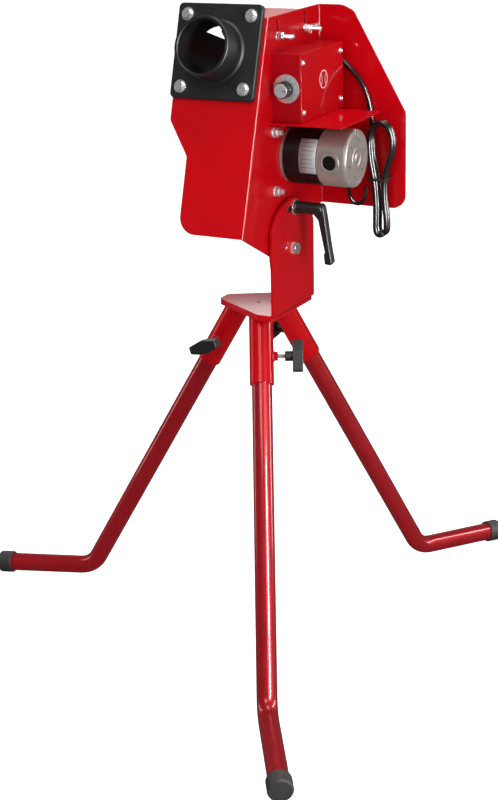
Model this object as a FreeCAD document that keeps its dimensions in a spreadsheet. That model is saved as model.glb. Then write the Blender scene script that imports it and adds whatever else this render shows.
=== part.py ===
import FreeCAD, Part
import Sketcher
import math
import os
from FreeCAD import Vector, Rotation, Placement

# Baseball pitching machine on a tripod, millimetres, +Z up, +Y the throwing direction.
# The origin is on the floor under the middle of the footprint. Pieces are drawn in the hub
# frame, whose origin is on the floor under the three-leg hub, and shifted when they are
# placed. The tilting head has its own frame at the tilt pivot: +X points out from the web
# along the motor, the wheel is on the -X side, and the user stands towards -Y.

doc = FreeCAD.newDocument("pitching_machine")
sheet = doc.addObject("Spreadsheet::Sheet", "Dims")

# alias, value, meaning
DIMS = [
    # head frame
    ("head_x", 52.2, "outer face of the web, from the hub axis"),
    ("pivot_y", -2.3, "tilt pivot, along the throwing direction"),
    ("pivot_z", 662.5, "tilt pivot height"),
    ("tilt_rest", 1.2, "aim angle at rest, degrees"),
    ("lean", 18.16, "lean-back angle of the feed plate, degrees"),
    # bent panel
    ("panel_t", 3.0, "panel sheet thickness"),
    ("near_y", -163.9, "feed plate face at head height 0"),
    ("bend_bot_z", 48.4, "lower end of the feed-side bend"),
    ("bend_bot_y", -148.024, "lower end of the feed-side bend"),
    ("bend_top_z", 354.3, "upper end of the feed-side bend"),
    ("bend_top_y", -47.686, "upper end of the feed-side bend"),
    ("bend_bot_v", 50.937, "lower end of the bend, up the plate"),
    ("bend_top_v", 372.873, "upper end of the bend, up the plate"),
    ("web_low_y", -40.0, "web underside, end of the slope"),
    ("web_low_z", -11.4, "web underside, end of the slope"),
    ("web_chin_y", 22.0, "half width of the web chin under the pivot"),
    ("web_chin_z", -24.0, "web chin under the pivot"),
    ("web_rise_y", 66.0, "web underside, far rise"),
    ("web_rise_z", 44.0, "web and guard plate underside"),
    ("far_y", 123.1, "guard plate face"),
    ("far_top_z", 354.3, "guard plate top"),
    ("far_x1", 38.7, "guard plate top flat end"),
    ("far_x2", 57.0, "guard plate upper corner"),
    ("far_z2", 345.9, "guard plate upper corner"),
    ("far_x3", 143.5, "guard plate outer edge"),
    ("far_z3", 194.9, "guard plate shoulder"),
    ("far_corner_r", 22.0, "guard plate lower corner radius"),
    ("feed_x1", 109.5, "feed plate lower width"),
    ("feed_x2", 144.6, "feed plate upper width"),
    ("feed_v1", 165.6, "feed plate step, lower"),
    ("feed_v2", 217.6, "feed plate step, upper"),
    ("feed_v3", 388.0, "feed plate top behind the flange"),
    ("feed_notch_x", 10.0, "feed plate top notch"),
    ("feed_corner_r", 27.0, "feed plate lower corner radius"),
    ("bend_r_out", 5.0, "outer bend radius"),
    ("bend_r_near", 2.8, "feed-side outer bend radius"),
    ("bend_r_in", 2.0, "inner bend radius"),
    # feed tube and flange
    ("tube_x", 76.0, "feed tube axis, from the web face"),
    ("tube_v", 320.3, "feed tube axis, up the plate"),
    ("tube_ro", 44.45, "feed tube outer radius, 3 inch pipe"),
    ("tube_ri", 39.0, "feed tube inner radius"),
    ("tube_out", 44.7, "feed tube length in front of the flange"),
    ("chute_len", 85.0, "open chute length behind the feed plate"),
    ("flange_w", 140.0, "square flange width"),
    ("flange_t", 8.0, "flange thickness"),
    ("flange_r", 7.5, "flange corner radius"),
    ("flange_pitch", 106.0, "flange bolt spacing"),
    # wheel and motor
    ("axis_y", 17.7, "shaft axis"),
    ("axis_z", 143.3, "shaft axis"),
    ("wheel_r", 101.6, "tyre outer radius, 8 inch wheel"),
    ("tyre_w", 56.0, "tyre width"),
    ("tyre_ri", 70.05, "tyre inner radius"),
    ("rim_w", 52.0, "rim width"),
    ("shaft_r", 7.9375, "shaft radius, 5/8 inch"),
    ("motor_r", 43.8, "motor can radius"),
    ("can_x0", 5.0, "can start"),
    ("can_x1", 62.0, "can end"),
    ("motor_len", 109.2, "motor length"),
    ("brush_x", 84.0, "brush position along the motor"),
    # control box and shelf
    ("box_y0", -41.5, "control box near face"),
    ("box_len", 145.8, "control box length"),
    ("box_z0", 202.4, "control box underside"),
    ("box_h", 100.2, "control box height"),
    ("box_d", 46.5, "control box tray depth"),
    ("box_t", 1.5, "control box sheet"),
    ("shelf_w", 118.0, "shelf width"),
    ("shelf_y0", -53.2, "shelf near edge"),
    ("shelf_len", 140.7, "shelf length"),
    ("shelf_t", 2.0, "shelf sheet"),
    ("dial_x", 23.9, "dial axis"),
    ("dial_z", 252.2, "dial axis"),
    ("skirt_r", 21.0, "dial skirt radius"),
    ("knob_r", 12.0, "dial knob radius"),
    # pinch plate
    ("pinch_z", 351.0, "pinch plate top"),
    ("pinch_t", 3.0, "pinch plate sheet"),
    ("pinch_y0", -30.0, "pinch plate near edge"),
    ("pinch_len", 116.0, "pinch plate length"),
    ("pinch_w", 118.0, "pinch plate width"),
    ("pad_w", 54.0, "pinch pad width"),
    ("pad_len", 88.0, "pinch pad length"),
    ("pad_z", 311.0, "pinch pad underside"),
    ("pinch_bolt_ya", -19.0, "near wing-nut bolt"),
    ("pinch_bolt_yb", 73.3, "far wing-nut bolt"),
    ("pinch_bolt_z", 324.8, "wing-nut bolts"),
    ("pinch_travel", 22.0, "slot travel"),
    ("slot_w", 6.6, "slot width"),
    # tilt clamp and bracket
    ("bracket_x", 60.0, "bracket outer face"),
    ("bracket_t", 4.8, "bracket plate"),
    ("bracket_hw", 71.0, "bracket half width"),
    ("bracket_r", 79.0, "bracket top radius about the pivot"),
    ("set_x", 128.659, "hub centre from the middle of the footprint, across"),
    ("set_y", -4.501, "hub centre from the middle of the footprint, along the throw"),
    ("hub_z", 564.747, "top of the hub plate"),
    ("hub_t", 4.8, "hub plate"),
    ("hub_tip_x", 67.5, "hub tip"),
    ("hub_tip_w", 13.5, "hub tip half width"),
    ("hub_side_x", 30.4, "start of the parallel hub edges"),
    ("clamp_r", 63.3, "clamp stud radius about the pivot"),
    ("clamp_a", 7.1, "clamp stud angle from vertical at rest"),
    ("slot_lo", -11.4, "arc slot end towards the user, degrees from vertical"),
    ("slot_hi", 27.6, "arc slot end towards the throw, degrees from vertical"),
    ("slot_hw", 4.5, "arc slot half width"),
    ("pivot_r", 5.0, "pivot bolt radius"),
    # tripod
    ("splay", 30.73, "leg angle from vertical, degrees"),
    ("leg_r0", 37.97, "leg axis distance from hub axis at the hub plate underside"),
    ("socket_ro", 19.05, "socket outer radius, 1.5 inch tube"),
    ("socket_ri", 15.965, "socket inner radius"),
    ("socket_len", 114.3, "socket length"),
    ("leg_ro", 15.875, "leg outer radius, 1.25 inch tube"),
    ("leg_ri", 13.875, "leg inner radius"),
    ("leg_top", 36.0, "leg top, below the hub along the socket"),
    ("leg_len", 614.4, "hub to leg bend corner along the leg"),
    ("leg_bend_r", 46.0, "leg bend radius"),
    ("foot_len", 184.0, "leg bend corner to the cap's end"),
    ("foot_turn", 55.26, "turn of the foot from the leg, degrees"),
    ("cap_ro", 19.2, "foot cap radius"),
    ("cap_len", 25.0, "foot cap length"),
    ("knob_down", 69.6, "lock screw position down the socket"),
    ("screw_r", 3.0, "lock screw radius"),
    ("cord_r", 3.9, "power cord radius"),
    ("lead_r", 3.0, "motor lead radius"),
]


class Driven:
    """A size with the sheet expression that drives it."""

    def __init__(self, formula, value):
        self.formula = formula
        self.value = float(value)

    def join(self, other, sign, value):
        other = driven(other)
        if self.formula is None and other.formula is None:
            return Driven(None, value)
        left = self.formula or "%.6f" % self.value
        right = other.formula or "%.6f" % other.value
        return Driven("(%s %s %s)" % (left, sign, right), value)

    def __add__(self, other):
        return self.join(other, "+", self.value + driven(other).value)

    def __sub__(self, other):
        return self.join(other, "-", self.value - driven(other).value)

    def __mul__(self, other):
        return self.join(other, "*", self.value * driven(other).value)

    def __rmul__(self, other):
        return driven(other) * self

    def __truediv__(self, other):
        return self.join(other, "/", self.value / driven(other).value)

    def __neg__(self):
        return Driven(None, 0.0) - self


def driven(value):
    return value if isinstance(value, Driven) else Driven(None, value)


class Sizes:
    """Dimensions read by alias."""


dim = Sizes()  # driven by the sheet
num = Sizes()  # plain numbers


def add_dim(alias, value, note):
    row = len(vars(num)) + 1
    sheet.set("A%d" % row, alias)
    sheet.set("B%d" % row, repr(value))
    sheet.set("C%d" % row, note)
    sheet.setAlias("B%d" % row, alias)
    setattr(num, alias, float(value))
    setattr(dim, alias, Driven("Dims." + alias, value))


for entry in DIMS:
    add_dim(*entry)

# the leg's centre line, from the leg and foot lengths
foot_turn = math.radians(num.foot_turn)
foot_dir = Vector(math.sin(foot_turn), 0, -math.cos(foot_turn))
leg_corner = Vector(0, 0, -num.leg_len)
bend_run = num.leg_bend_r * math.tan(foot_turn / 2)
bend_end = leg_corner + foot_dir * bend_run
foot_end = leg_corner + foot_dir * (num.foot_len - 3.4)
add_dim("bend_a_z", leg_corner.z + bend_run, "start of the leg bend")
add_dim("bend_b_x", bend_end.x, "end of the leg bend")
add_dim("foot_x", foot_end.x, "end of the foot tube")
add_dim("foot_z", foot_end.z, "end of the foot tube")
doc.recompute()

# ---------------------------------------------------------------- Part helpers
ORIGIN = (0, 0, 0)
X_DIR, Y_DIR, Z_DIR = (1, 0, 0), (0, 1, 0), (0, 0, 1)
SIGNS = (-1, 1)
CORNERS = [(i, j) for i in SIGNS for j in SIGNS]

# turns that take local +Z to the named direction
ROT = {
    "+Z": Rotation(),
    "-Z": Rotation(Vector(1, 0, 0), 180),
    "+X": Rotation(Vector(0, 1, 0), 90),
    "-X": Rotation(Vector(0, 1, 0), -90),
    "+Y": Rotation(Vector(1, 0, 0), -90),
    "-Y": Rotation(Vector(1, 0, 0), 90),
}


def new(kind, stem):
    return doc.addObject(kind, "%s_%03d" % (stem, len(doc.Objects)))


def bind(obj, prop, value):
    value = driven(value)
    if value.formula:
        obj.setExpression(prop, value.formula)
    else:
        setattr(obj, prop, value.value)


def drive_base(obj, prop, at):
    """Drive the base of a placement property from the sheet."""
    for axis, value in zip("xyz", at):
        if driven(value).formula:
            obj.setExpression("%s.Base.%s" % (prop, axis), value.formula)


def vector(at):
    return Vector(*[driven(value).value for value in at])


def pose(x, y, z, axis="+Z"):
    return Placement(Vector(x, y, z), ROT[axis])


def placed(obj, place):
    obj.Placement = place
    return obj


def primitive(kind, stem, at, axis, **sizes):
    obj = new("Part::" + kind, stem)
    for prop, value in sizes.items():
        bind(obj, prop, value)
    obj.Placement = Placement(vector(at), ROT[axis])
    drive_base(obj, "Placement", at)
    return obj


def box(length, width, height, at=ORIGIN):
    return primitive("Box", "Box", at, "+Z", Length=length, Width=width, Height=height)


def cyl(radius, height, at=ORIGIN, axis="+Z"):
    return primitive("Cylinder", "Cyl", at, axis, Radius=radius, Height=height)


def cone(radius1, radius2, height, at=ORIGIN):
    return primitive("Cone", "Cone", at, "+Z", Radius1=radius1, Radius2=radius2, Height=height)


def hexagon(flats, height, at=ORIGIN, axis="+Z"):
    """Hexagonal prism, sized across the flats."""
    obj = primitive("Prism", "Hex", at, axis, Circumradius=flats / math.sqrt(3.0), Height=height)
    obj.Polygon = 6
    return obj


def cut(base, *tools):
    for tool in tools:
        obj = new("Part::Cut", "Cut")
        obj.Base = base
        obj.Tool = tool
        base = obj
    return base


def fuse(*shapes):
    obj = new("Part::MultiFuse", "Fuse")
    obj.Shapes = list(shapes)
    obj.Refine = True
    return obj


def common(*shapes):
    obj = new("Part::MultiCommon", "Common")
    obj.Shapes = list(shapes)
    return obj


def group(*shapes):
    obj = new("Part::Compound", "Group")
    obj.Links = list(shapes)
    return obj


# ---------------------------------------------------------------- sketch helpers
def new_body():
    return new("PartDesign::Body", "Body")


def feature(body, kind, stem):
    return body.newObject(kind, "%s_%03d" % (stem, len(doc.Objects)))


def origin_feature(body, role):
    return next(item for item in body.Origin.OriginFeatures if item.Role == role)


def sketch(body, plane, at=ORIGIN, turn=None):
    sk = feature(body, "Sketcher::SketchObject", "Sketch")
    sk.AttachmentSupport = [(origin_feature(body, plane), "")]
    sk.MapMode = "FlatFace"
    sk.AttachmentOffset = Placement(vector(at), turn or Rotation())
    drive_base(sk, "AttachmentOffset", at)
    return sk


def constrain(sk, value, kind, *refs):
    """Add a dimension to a sketch, driven by the sheet where the value is."""
    value = driven(value)
    index = sk.addConstraint(Sketcher.Constraint(kind, *refs, value.value))
    if value.formula:
        sk.setExpression("Constraints[%d]" % index, value.formula)


def fix_point(sk, geo, end, x, y):
    constrain(sk, x, "DistanceX", -1, 1, geo, end)
    constrain(sk, y, "DistanceY", -1, 1, geo, end)


def close_loop(sk, first, count):
    for i in range(count):
        after = first + (i + 1) % count
        sk.addConstraint(Sketcher.Constraint("Coincident", first + i, 2, after, 1))


def line(start, end):
    return Part.LineSegment(start, end)


def arc(centre, radius, start, end):
    return Part.ArcOfCircle(Part.Circle(centre, Vector(0, 0, 1), radius), start, end)


def polar(centre, radius, angle):
    return centre + Vector(math.cos(angle), math.sin(angle), 0) * radius


def add_blocked(sk, *curves):
    first = sk.GeometryCount
    for curve in curves:
        sk.addGeometry(curve, False)
    for i in range(len(curves)):
        sk.addConstraint(Sketcher.Constraint("Block", first + i))


def poly(sk, points):
    first = sk.GeometryCount
    corners = [vector((x, y, 0)) for x, y in points]
    for start, end in zip(corners, corners[1:] + corners[:1]):
        sk.addGeometry(line(start, end), False)
    close_loop(sk, first, len(points))
    for i, (x, y) in enumerate(points):
        fix_point(sk, first + i, 1, x, y)


def rect(x0, y0, x1, y1):
    return [(x0, y0), (x1, y0), (x1, y1), (x0, y1)]


def circle(sk, x, y, radius):
    curve = Part.Circle(vector((x, y, 0)), Vector(0, 0, 1), driven(radius).value)
    geo = sk.addGeometry(curve, False)
    fix_point(sk, geo, 3, x, y)
    constrain(sk, radius, "Radius", geo)


def slot(sk, x, y0, y1, width):
    """A straight slot along the sketch's y axis."""
    first = sk.GeometryCount
    radius = width.value / 2
    low, high = vector((x, y0, 0)), vector((x, y1, 0))
    side = Vector(radius, 0, 0)
    sk.addGeometry(line(low + side, high + side), False)
    sk.addGeometry(arc(high, radius, 0, math.pi), False)
    sk.addGeometry(line(high - side, low - side), False)
    sk.addGeometry(arc(low, radius, math.pi, 2 * math.pi), False)
    close_loop(sk, first, 4)
    fix_point(sk, first + 1, 3, x, y1)
    fix_point(sk, first + 3, 3, x, y0)
    fix_point(sk, first, 1, x + width / 2, y0)
    fix_point(sk, first, 2, x + width / 2, y1)
    constrain(sk, y1, "DistanceY", -1, 1, first + 2, 1)
    constrain(sk, y0, "DistanceY", -1, 1, first + 2, 2)


# ---------------------------------------------------------------- PartDesign helpers
def pad(body, sk, length, reverse=False, mid=False):
    obj = feature(body, "PartDesign::Pad", "Pad")
    obj.Profile = sk
    obj.Reversed = reverse
    if mid:
        obj.Midplane = True
    bind(obj, "Length", length)


def pocket(body, sk, length, reverse=False):
    doc.recompute()
    before = body.Shape.Volume
    obj = feature(body, "PartDesign::Pocket", "Pocket")
    obj.Profile = sk
    obj.Reversed = reverse
    bind(obj, "Length", length)
    doc.recompute()
    if not body.Shape.Volume < before - 1e-6:
        raise RuntimeError("pocket removed nothing: " + obj.Name)
    return obj


def extrude(body, plane, at, points, length, turn=None, **side):
    """Pad a polygon."""
    sk = sketch(body, plane, at, turn)
    poly(sk, points)
    pad(body, sk, length, **side)


def extrude_round(body, plane, at, circles, length, reverse=False):
    """Pad circles given as (x, y, radius)."""
    sk = sketch(body, plane, at)
    for hole in circles:
        circle(sk, *hole)
    pad(body, sk, length, reverse)


def drill(body, plane, at, circles, depth, reverse=False, turn=None):
    """Pocket circles given as (x, y, radius)."""
    sk = sketch(body, plane, at, turn)
    for hole in circles:
        circle(sk, *hole)
    return pocket(body, sk, depth, reverse)


def revolve(body, points):
    """Turn a profile given as (radius, height) about the body's Z axis."""
    sk = sketch(body, "XZ_Plane")
    poly(sk, points)
    obj = feature(body, "PartDesign::Revolution", "Turn")
    obj.Profile = sk
    obj.ReferenceAxis = (origin_feature(body, "Z_Axis"), [""])
    obj.Angle = 360


def turned(points):
    body = new_body()
    revolve(body, points)
    return body


def mirrored(half, middle):
    """Profile from its lower half, given as (radius, distance from the middle height)."""
    lower = [(radius, middle - away) for radius, away in half]
    return lower + [(radius, middle + away) for radius, away in reversed(half)]


def repeat_round(body, original, count):
    obj = feature(body, "PartDesign::PolarPattern", "Polar")
    obj.Originals = [original]
    obj.Axis = (origin_feature(body, "Z_Axis"), [""])
    obj.Angle = 360
    obj.Occurrences = count
    body.Tip = obj


def soften(body, *rounds):
    """Fillets in turn, each given as (radius, edge tests)."""
    for radius, tests in rounds:
        doc.recompute()
        tip = body.Tip
        names = ["Edge%d" % i for i, edge in enumerate(tip.Shape.Edges, 1)
                 if any(test(edge) for test in tests)]
        if not names:
            raise RuntimeError("no edge to round in " + body.Name)
        obj = feature(body, "PartDesign::Fillet", "Fillet")
        obj.Base = (tip, names)
        bind(obj, "Radius", radius)
        doc.recompute()
        if "Invalid" in obj.State or "Error" in obj.State or obj.Shape.isNull():
            raise RuntimeError("fillet failed in %s: %s" % (body.Name, names))


def along(direction, point):
    """Test for a straight edge along direction that passes near point."""
    direction = Vector(*direction).normalize()

    def test(edge):
        if edge.Curve.TypeId != "Part::GeomLine":
            return False
        run = edge.Vertexes[-1].Point - edge.Vertexes[0].Point
        if run.Length < 1e-6:
            return False
        run.normalize()
        return (abs(abs(run.dot(direction)) - 1) < 1e-4
                and edge.distToShape(Part.Vertex(Vector(*point)))[0] < 0.8)
    return test


def edges_along(direction, *points):
    return [along(direction, point) for point in points]


def edges_at(axis, level):
    """Test for every edge that lies in the plane axis = level."""
    def test(edge):
        bounds = edge.BoundBox
        return all(abs(getattr(bounds, axis + end) - level) < 1e-4 for end in ("Min", "Max"))
    return [test]


# ---------------------------------------------------------------- frames
HEAD = Placement(Vector(num.head_x, num.pivot_y, num.pivot_z),
                 Rotation(Vector(1, 0, 0), num.tilt_rest))
lean_cos = math.cos(math.radians(num.lean))
lean_sin = math.sin(math.radians(num.lean))
lean_turn = Rotation(Vector(1, 0, 0), -num.lean)
feed_normal = (0, -lean_cos, lean_sin)
# feed plate, in the head frame: x along the plate, y up the plate, z out towards the user
FEED = Placement(Vector(0, num.near_y, 0),
                 Rotation(Vector(1, 0, 0), Vector(0, lean_sin, lean_cos), Vector(*feed_normal),
                          "ZXY"))
# feed tube, in the head frame: on the feed plate face, +Z out towards the user
TUBE = FEED * pose(-num.tube_x, num.tube_v, 0)
# shaft line: +Z is head +X, local +Y is head +Y
SPIN = HEAD * pose(0, num.axis_y, num.axis_z, "+X")
# speed dial: +Z is head -Y
DIAL = HEAD * pose(num.dial_x, num.box_y0, num.dial_z, "-Y")
# clamp stud, in head y and z; in the lever frame local +X is head -Z
clamp_angle = math.radians(num.clamp_a + num.tilt_rest)
clamp_y = num.clamp_r * math.sin(clamp_angle)
clamp_z = num.clamp_r * math.cos(clamp_angle)
LEVER = HEAD * pose(num.bracket_x - num.head_x, clamp_y, clamp_z, "+X")
# tilt pivot: +Z is +X, measured from the hub axis
PIVOT = Placement(Vector(0, num.pivot_y, num.pivot_z), Rotation(Vector(1, 0, 0), 20) * ROT["+X"])

# hole places on the web, (y, z)
GUARD_BOLTS = [(-40.0, 186.6), (-40.0, 97.3)]
BOX_SCREWS = [(0.0, 250.0), (70.0, 250.0)]
SHELF_SCREWS = [(-12.0, 194.6), (58.0, 194.6)]
# motor screws from the shaft axis, (y, z)
screw_circle_r = 33
MOTOR_SCREWS = [(screw_circle_r * math.cos(math.radians(angle)),
                 screw_circle_r * math.sin(math.radians(angle))) for angle in (45, 135, 225, 315)]
PINCH_BOLTS = (dim.pinch_bolt_ya, dim.pinch_bolt_yb)


# ---------------------------------------------------------------- bent panel
def on_feed(x, up, out):
    """Point of the feed plate frame in the head frame."""
    return tuple(FEED.multVec(Vector(x, up, out)))


def flange_holes(x, y):
    """Bolt holes of the square flange about (x, y)."""
    return [(x + i * dim.flange_pitch / 2, y + j * dim.flange_pitch / 2, 4.3)
            for i, j in CORNERS]


def frame_panel():
    """Web, with the feed plate bent to -X and the guard plate bent to +X."""
    panel = new_body()
    thick = dim.panel_t
    extrude(panel, "YZ_Plane", ORIGIN,
            [(dim.bend_bot_y, dim.bend_bot_z), (dim.web_low_y, dim.web_low_z),
             (-dim.web_chin_y, dim.web_chin_z), (dim.web_chin_y, dim.web_chin_z),
             (dim.web_rise_y - 22, dim.web_chin_z + 20), (dim.web_rise_y, dim.web_rise_z),
             (dim.far_y + thick, dim.web_rise_z), (dim.far_y + thick, dim.far_top_z),
             (dim.bend_top_y, dim.bend_top_z)], thick, reverse=True)
    extrude(panel, "XZ_Plane", (0, 0, -dim.far_y),
            [(-thick, dim.web_rise_z), (dim.far_x3, dim.web_rise_z), (dim.far_x3, dim.far_z3),
             (dim.far_x2, dim.far_z2), (dim.far_x1, dim.far_top_z), (-thick, dim.far_top_z)],
            thick, reverse=True)
    extrude(panel, "XZ_Plane", (0, 0, -dim.near_y),
            [(0, dim.bend_bot_v), (0, dim.bend_top_v), (-dim.feed_notch_x, dim.bend_top_v),
             (-dim.feed_notch_x, dim.feed_v3), (-dim.feed_x2, dim.feed_v3),
             (-dim.feed_x2, dim.feed_v2), (-dim.feed_x1, dim.feed_v1),
             (-dim.feed_x1, dim.bend_bot_v)], thick, turn=lean_turn, reverse=True)
    doc.recompute()

    mid = num.panel_t / 2
    bend_dir = (0, num.bend_top_y - num.bend_bot_y, num.bend_top_z - num.bend_bot_z)

    def feed_corners(*spots):
        return edges_along(feed_normal, *[on_feed(-x, up, -mid) for x, up in spots])

    def guard_corners(*spots):
        return edges_along(Y_DIR, *[(x, num.far_y + mid, z) for x, z in spots])

    soften(panel,
           (dim.feed_corner_r, feed_corners((num.feed_x1, num.bend_bot_v))),
           (8.0, feed_corners((num.feed_x1, num.feed_v1), (num.feed_x2, num.feed_v3),
                              (num.feed_notch_x, num.feed_v3))),
           (13.0, feed_corners((num.feed_x2, num.feed_v2))),
           (dim.far_corner_r, guard_corners((num.far_x3, num.web_rise_z))),
           (13.0, guard_corners((num.far_x3, num.far_z3))),
           (16.0, guard_corners((num.far_x2, num.far_z2), (num.far_x1, num.far_top_z))),
           (10.0, edges_along(X_DIR, (-mid, num.web_rise_y, num.web_rise_z),
                              (-mid, num.web_chin_y, num.web_chin_z),
                              (-mid, -num.web_chin_y, num.web_chin_z))),
           (dim.bend_r_in, [along(Z_DIR, (0, num.far_y, 200)),
                            along(bend_dir, on_feed(-num.panel_t, 200, -num.panel_t))]),
           (dim.bend_r_out, edges_along(Z_DIR, (-num.panel_t, num.far_y + num.panel_t, 200))),
           (dim.bend_r_near, edges_along(bend_dir, on_feed(0, 200, 0))))

    holes = [(0, 0, dim.pivot_r + 0.075), (clamp_y, clamp_z, 4.15)]
    holes += [(y, z, 4.3) for y, z in GUARD_BOLTS]
    holes += [(dim.axis_y, dim.axis_z, 20.0)]
    holes += [(num.axis_y + y, num.axis_z + z, 3.3) for y, z in MOTOR_SCREWS]
    holes += [(y, z, 2.55) for y, z in BOX_SCREWS + SHELF_SCREWS]
    sk = sketch(panel, "YZ_Plane", (0, 0, 1))
    for hole in holes:
        circle(sk, *hole)
    for y in PINCH_BOLTS:
        slot(sk, y, dim.pinch_bolt_z, dim.pinch_bolt_z + dim.pinch_travel, dim.slot_w)
    pocket(panel, sk, 6.0)
    # drilled from a plane 1 mm in front of the leaning face
    drill(panel, "XZ_Plane", (0, lean_sin, -num.near_y + lean_cos),
          [(-dim.tube_x, dim.tube_v, dim.tube_ro + 0.8)] + flange_holes(-dim.tube_x, dim.tube_v),
          6.0, turn=lean_turn)
    return panel


# ---------------------------------------------------------------- feed tube and flange
def feed_tube():
    """Feed tube that runs on behind the plate as a chute open at the top."""
    rim = dim.flange_t + dim.tube_out
    collar = dim.flange_t + 2.65
    spigot = dim.tube_ro - 1.2
    tube = turned([(dim.tube_ri, -dim.chute_len), (spigot, -dim.chute_len), (spigot, collar),
                   (dim.tube_ro, collar), (dim.tube_ro, rim - 1.2), (dim.tube_ro - 1.2, rim),
                   (dim.tube_ri + 1.2, rim), (dim.tube_ri, rim - 1.2)])
    sk = sketch(tube, "YZ_Plane", (0, 0, -60))
    poly(sk, rect(dim.tube_ro * math.sin(math.radians(42)), -dim.chute_len - 5,
                  60, -dim.panel_t - 1))
    pocket(tube, sk, 120, reverse=True)
    # clearance for the tyre, coaxial with the wheel
    wheel = TUBE.inverse().multVec(Vector(0, num.axis_y, num.axis_z))
    drill(tube, "YZ_Plane", (0, 0, -60), [(wheel.y, wheel.z, dim.wheel_r + 5)], 120, reverse=True)
    return tube


def feed_flange():
    """Square flange with a raised collar round the tube."""
    flange = new_body()
    half = dim.flange_w / 2
    extrude(flange, "XY_Plane", ORIGIN, rect(-half, -half, half, half), dim.flange_t)
    corners = [(i * half.value, j * half.value, num.flange_t / 2) for i, j in CORNERS]
    soften(flange, (dim.flange_r, edges_along(Z_DIR, *corners)),
           (1.8, edges_at("Z", num.flange_t)))
    revolve(flange, [(dim.tube_ro - 4, 1.0), (dim.tube_ro + 3, 1.0), (dim.tube_ro + 3, dim.flange_t),
                     (dim.tube_ro + 0.1, dim.flange_t + 2.6),
                     (dim.tube_ro - 4, dim.flange_t + 2.6)])
    drill(flange, "XY_Plane", (0, 0, 12),
          [(0, 0, dim.tube_ro - 1.17)] + flange_holes(driven(0), driven(0)), 14)
    return flange


def m8_bolt():
    """Hex bolt with its washer, washer seat at z=0, shank down."""
    washer = cut(cyl(9.6, 1.8), cyl(4.05, 4, (0, 0, -1)))
    head = common(hexagon(13.0, 5.4, (0, 0, 1.8)), cone(9.2, 6.6, 7.2))
    return group(washer, fuse(head, cyl(4.0, 25.0, (0, 0, -23.0))))


def m8_nut(washer=True):
    """Hex nut, seat at z=0."""
    seat = 1.6 if washer else 0.0
    nut = cut(common(hexagon(13.0, 6.5, (0, 0, seat)), cone(6.9, 9.9, 9.9, (0, 0, seat - 4.2)),
                     cone(9.9, 6.9, 9.9, (0, 0, seat))), cyl(4.05, 20, (0, 0, -5)))
    if not washer:
        return nut
    return group(cut(cyl(8.0, 1.6), cyl(4.1, 4, (0, 0, -1))), nut)


bolt_reach = num.flange_pitch / 2
guard_t = 2.0


def m8_bolts():
    """Four flange bolts and two guard bolts."""
    bolts = [placed(m8_bolt(), TUBE * pose(i * bolt_reach, j * bolt_reach, num.flange_t))
             for i, j in CORNERS]
    bolts += [placed(fuse(hexagon(13.0, 5.4), cyl(4.0, 19.0, (0, 0, -19.0))),
                     pose(-num.panel_t - guard_t, y, z, "-X")) for y, z in GUARD_BOLTS]
    return group(*bolts)


def m8_nuts():
    """Nuts of the flange bolts, the guard bolts and the clamp stud."""
    nuts = [placed(m8_nut(), TUBE * pose(i * bolt_reach, j * bolt_reach, -num.panel_t, "-Z"))
            for i, j in CORNERS]
    nuts += [placed(m8_nut(), pose(0, y, z, "+X")) for y, z in GUARD_BOLTS]
    nuts.append(placed(m8_nut(False), pose(-num.panel_t, clamp_y, clamp_z, "-X")))
    return group(*nuts)


def friction_pad():
    """Part disc between the panel and the bracket."""
    disc = common(cyl(66.0, 2.9, ORIGIN, "+X"), box(10, 140, 90, (-2, -70, -21)))
    return cut(disc, cyl(dim.pivot_r + 0.1, 10, (-3, 0, 0), "+X"),
               cyl(4.15, 10, (-3, clamp_y, clamp_z), "+X"))


# ---------------------------------------------------------------- wheel and guard
def wheel_guard():
    """Curved shield on the user's side of the wheel, with a flange against the web."""
    guard = new_body()
    centre = Vector(num.axis_y, num.axis_z, 0)
    start, end = math.radians(130), math.radians(232)
    outer = 111.0
    # inner radius and width of the flange, then of the shield
    for inner, width in ((58.0, guard_t), (outer - guard_t, 102.0)):
        sk = sketch(guard, "YZ_Plane", (0, 0, -dim.panel_t))
        add_blocked(sk, arc(centre, outer, start, end),
                    line(polar(centre, outer, end), polar(centre, inner, end)),
                    arc(centre, inner, start, end),
                    line(polar(centre, inner, start), polar(centre, outer, start)))
        pad(guard, sk, width, reverse=True)
    drill(guard, "YZ_Plane", (0, 0, 1), [(y, z, 4.3) for y, z in GUARD_BOLTS], 10.0)
    return guard


wheel_mid = -dim.tube_x  # the wheel runs under the feed tube's axis
bore_r = dim.shaft_r + 0.02


def wheel_tyre():
    half, radius = dim.tyre_w / 2, dim.wheel_r
    # grooved tread: radius, distance from the tyre's middle plane
    return turned(mirrored([
        (dim.tyre_ri, half - 3), (dim.tyre_ri + 9, half), (radius - 9, half),
        (radius - 2.2, half - 4.5), (radius - 0.3, 13), (radius - 0.3, 12.6),
        (radius - 3.2, 11.6), (radius - 3.2, 9.6), (radius, 8.6)], wheel_mid))


def wheel_hub():
    """Rim and disc with a long boss towards the motor and six round holes."""
    rim = dim.rim_w / 2
    disc = mirrored([(16.5, 4), (62, 3), (66, 6), (66, rim - 1), (69, rim + 1), (70, rim - 1)],
                    wheel_mid)
    hub = turned([(bore_r, wheel_mid - 22), (15, wheel_mid - 22)] + disc
                 + [(15, wheel_mid + 44), (bore_r, wheel_mid + 44)])
    hole = drill(hub, "XY_Plane", (0, 0, wheel_mid + 20), [(40, 0, 9.5)], 45)
    repeat_round(hub, hole, 6)
    return hub


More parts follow.
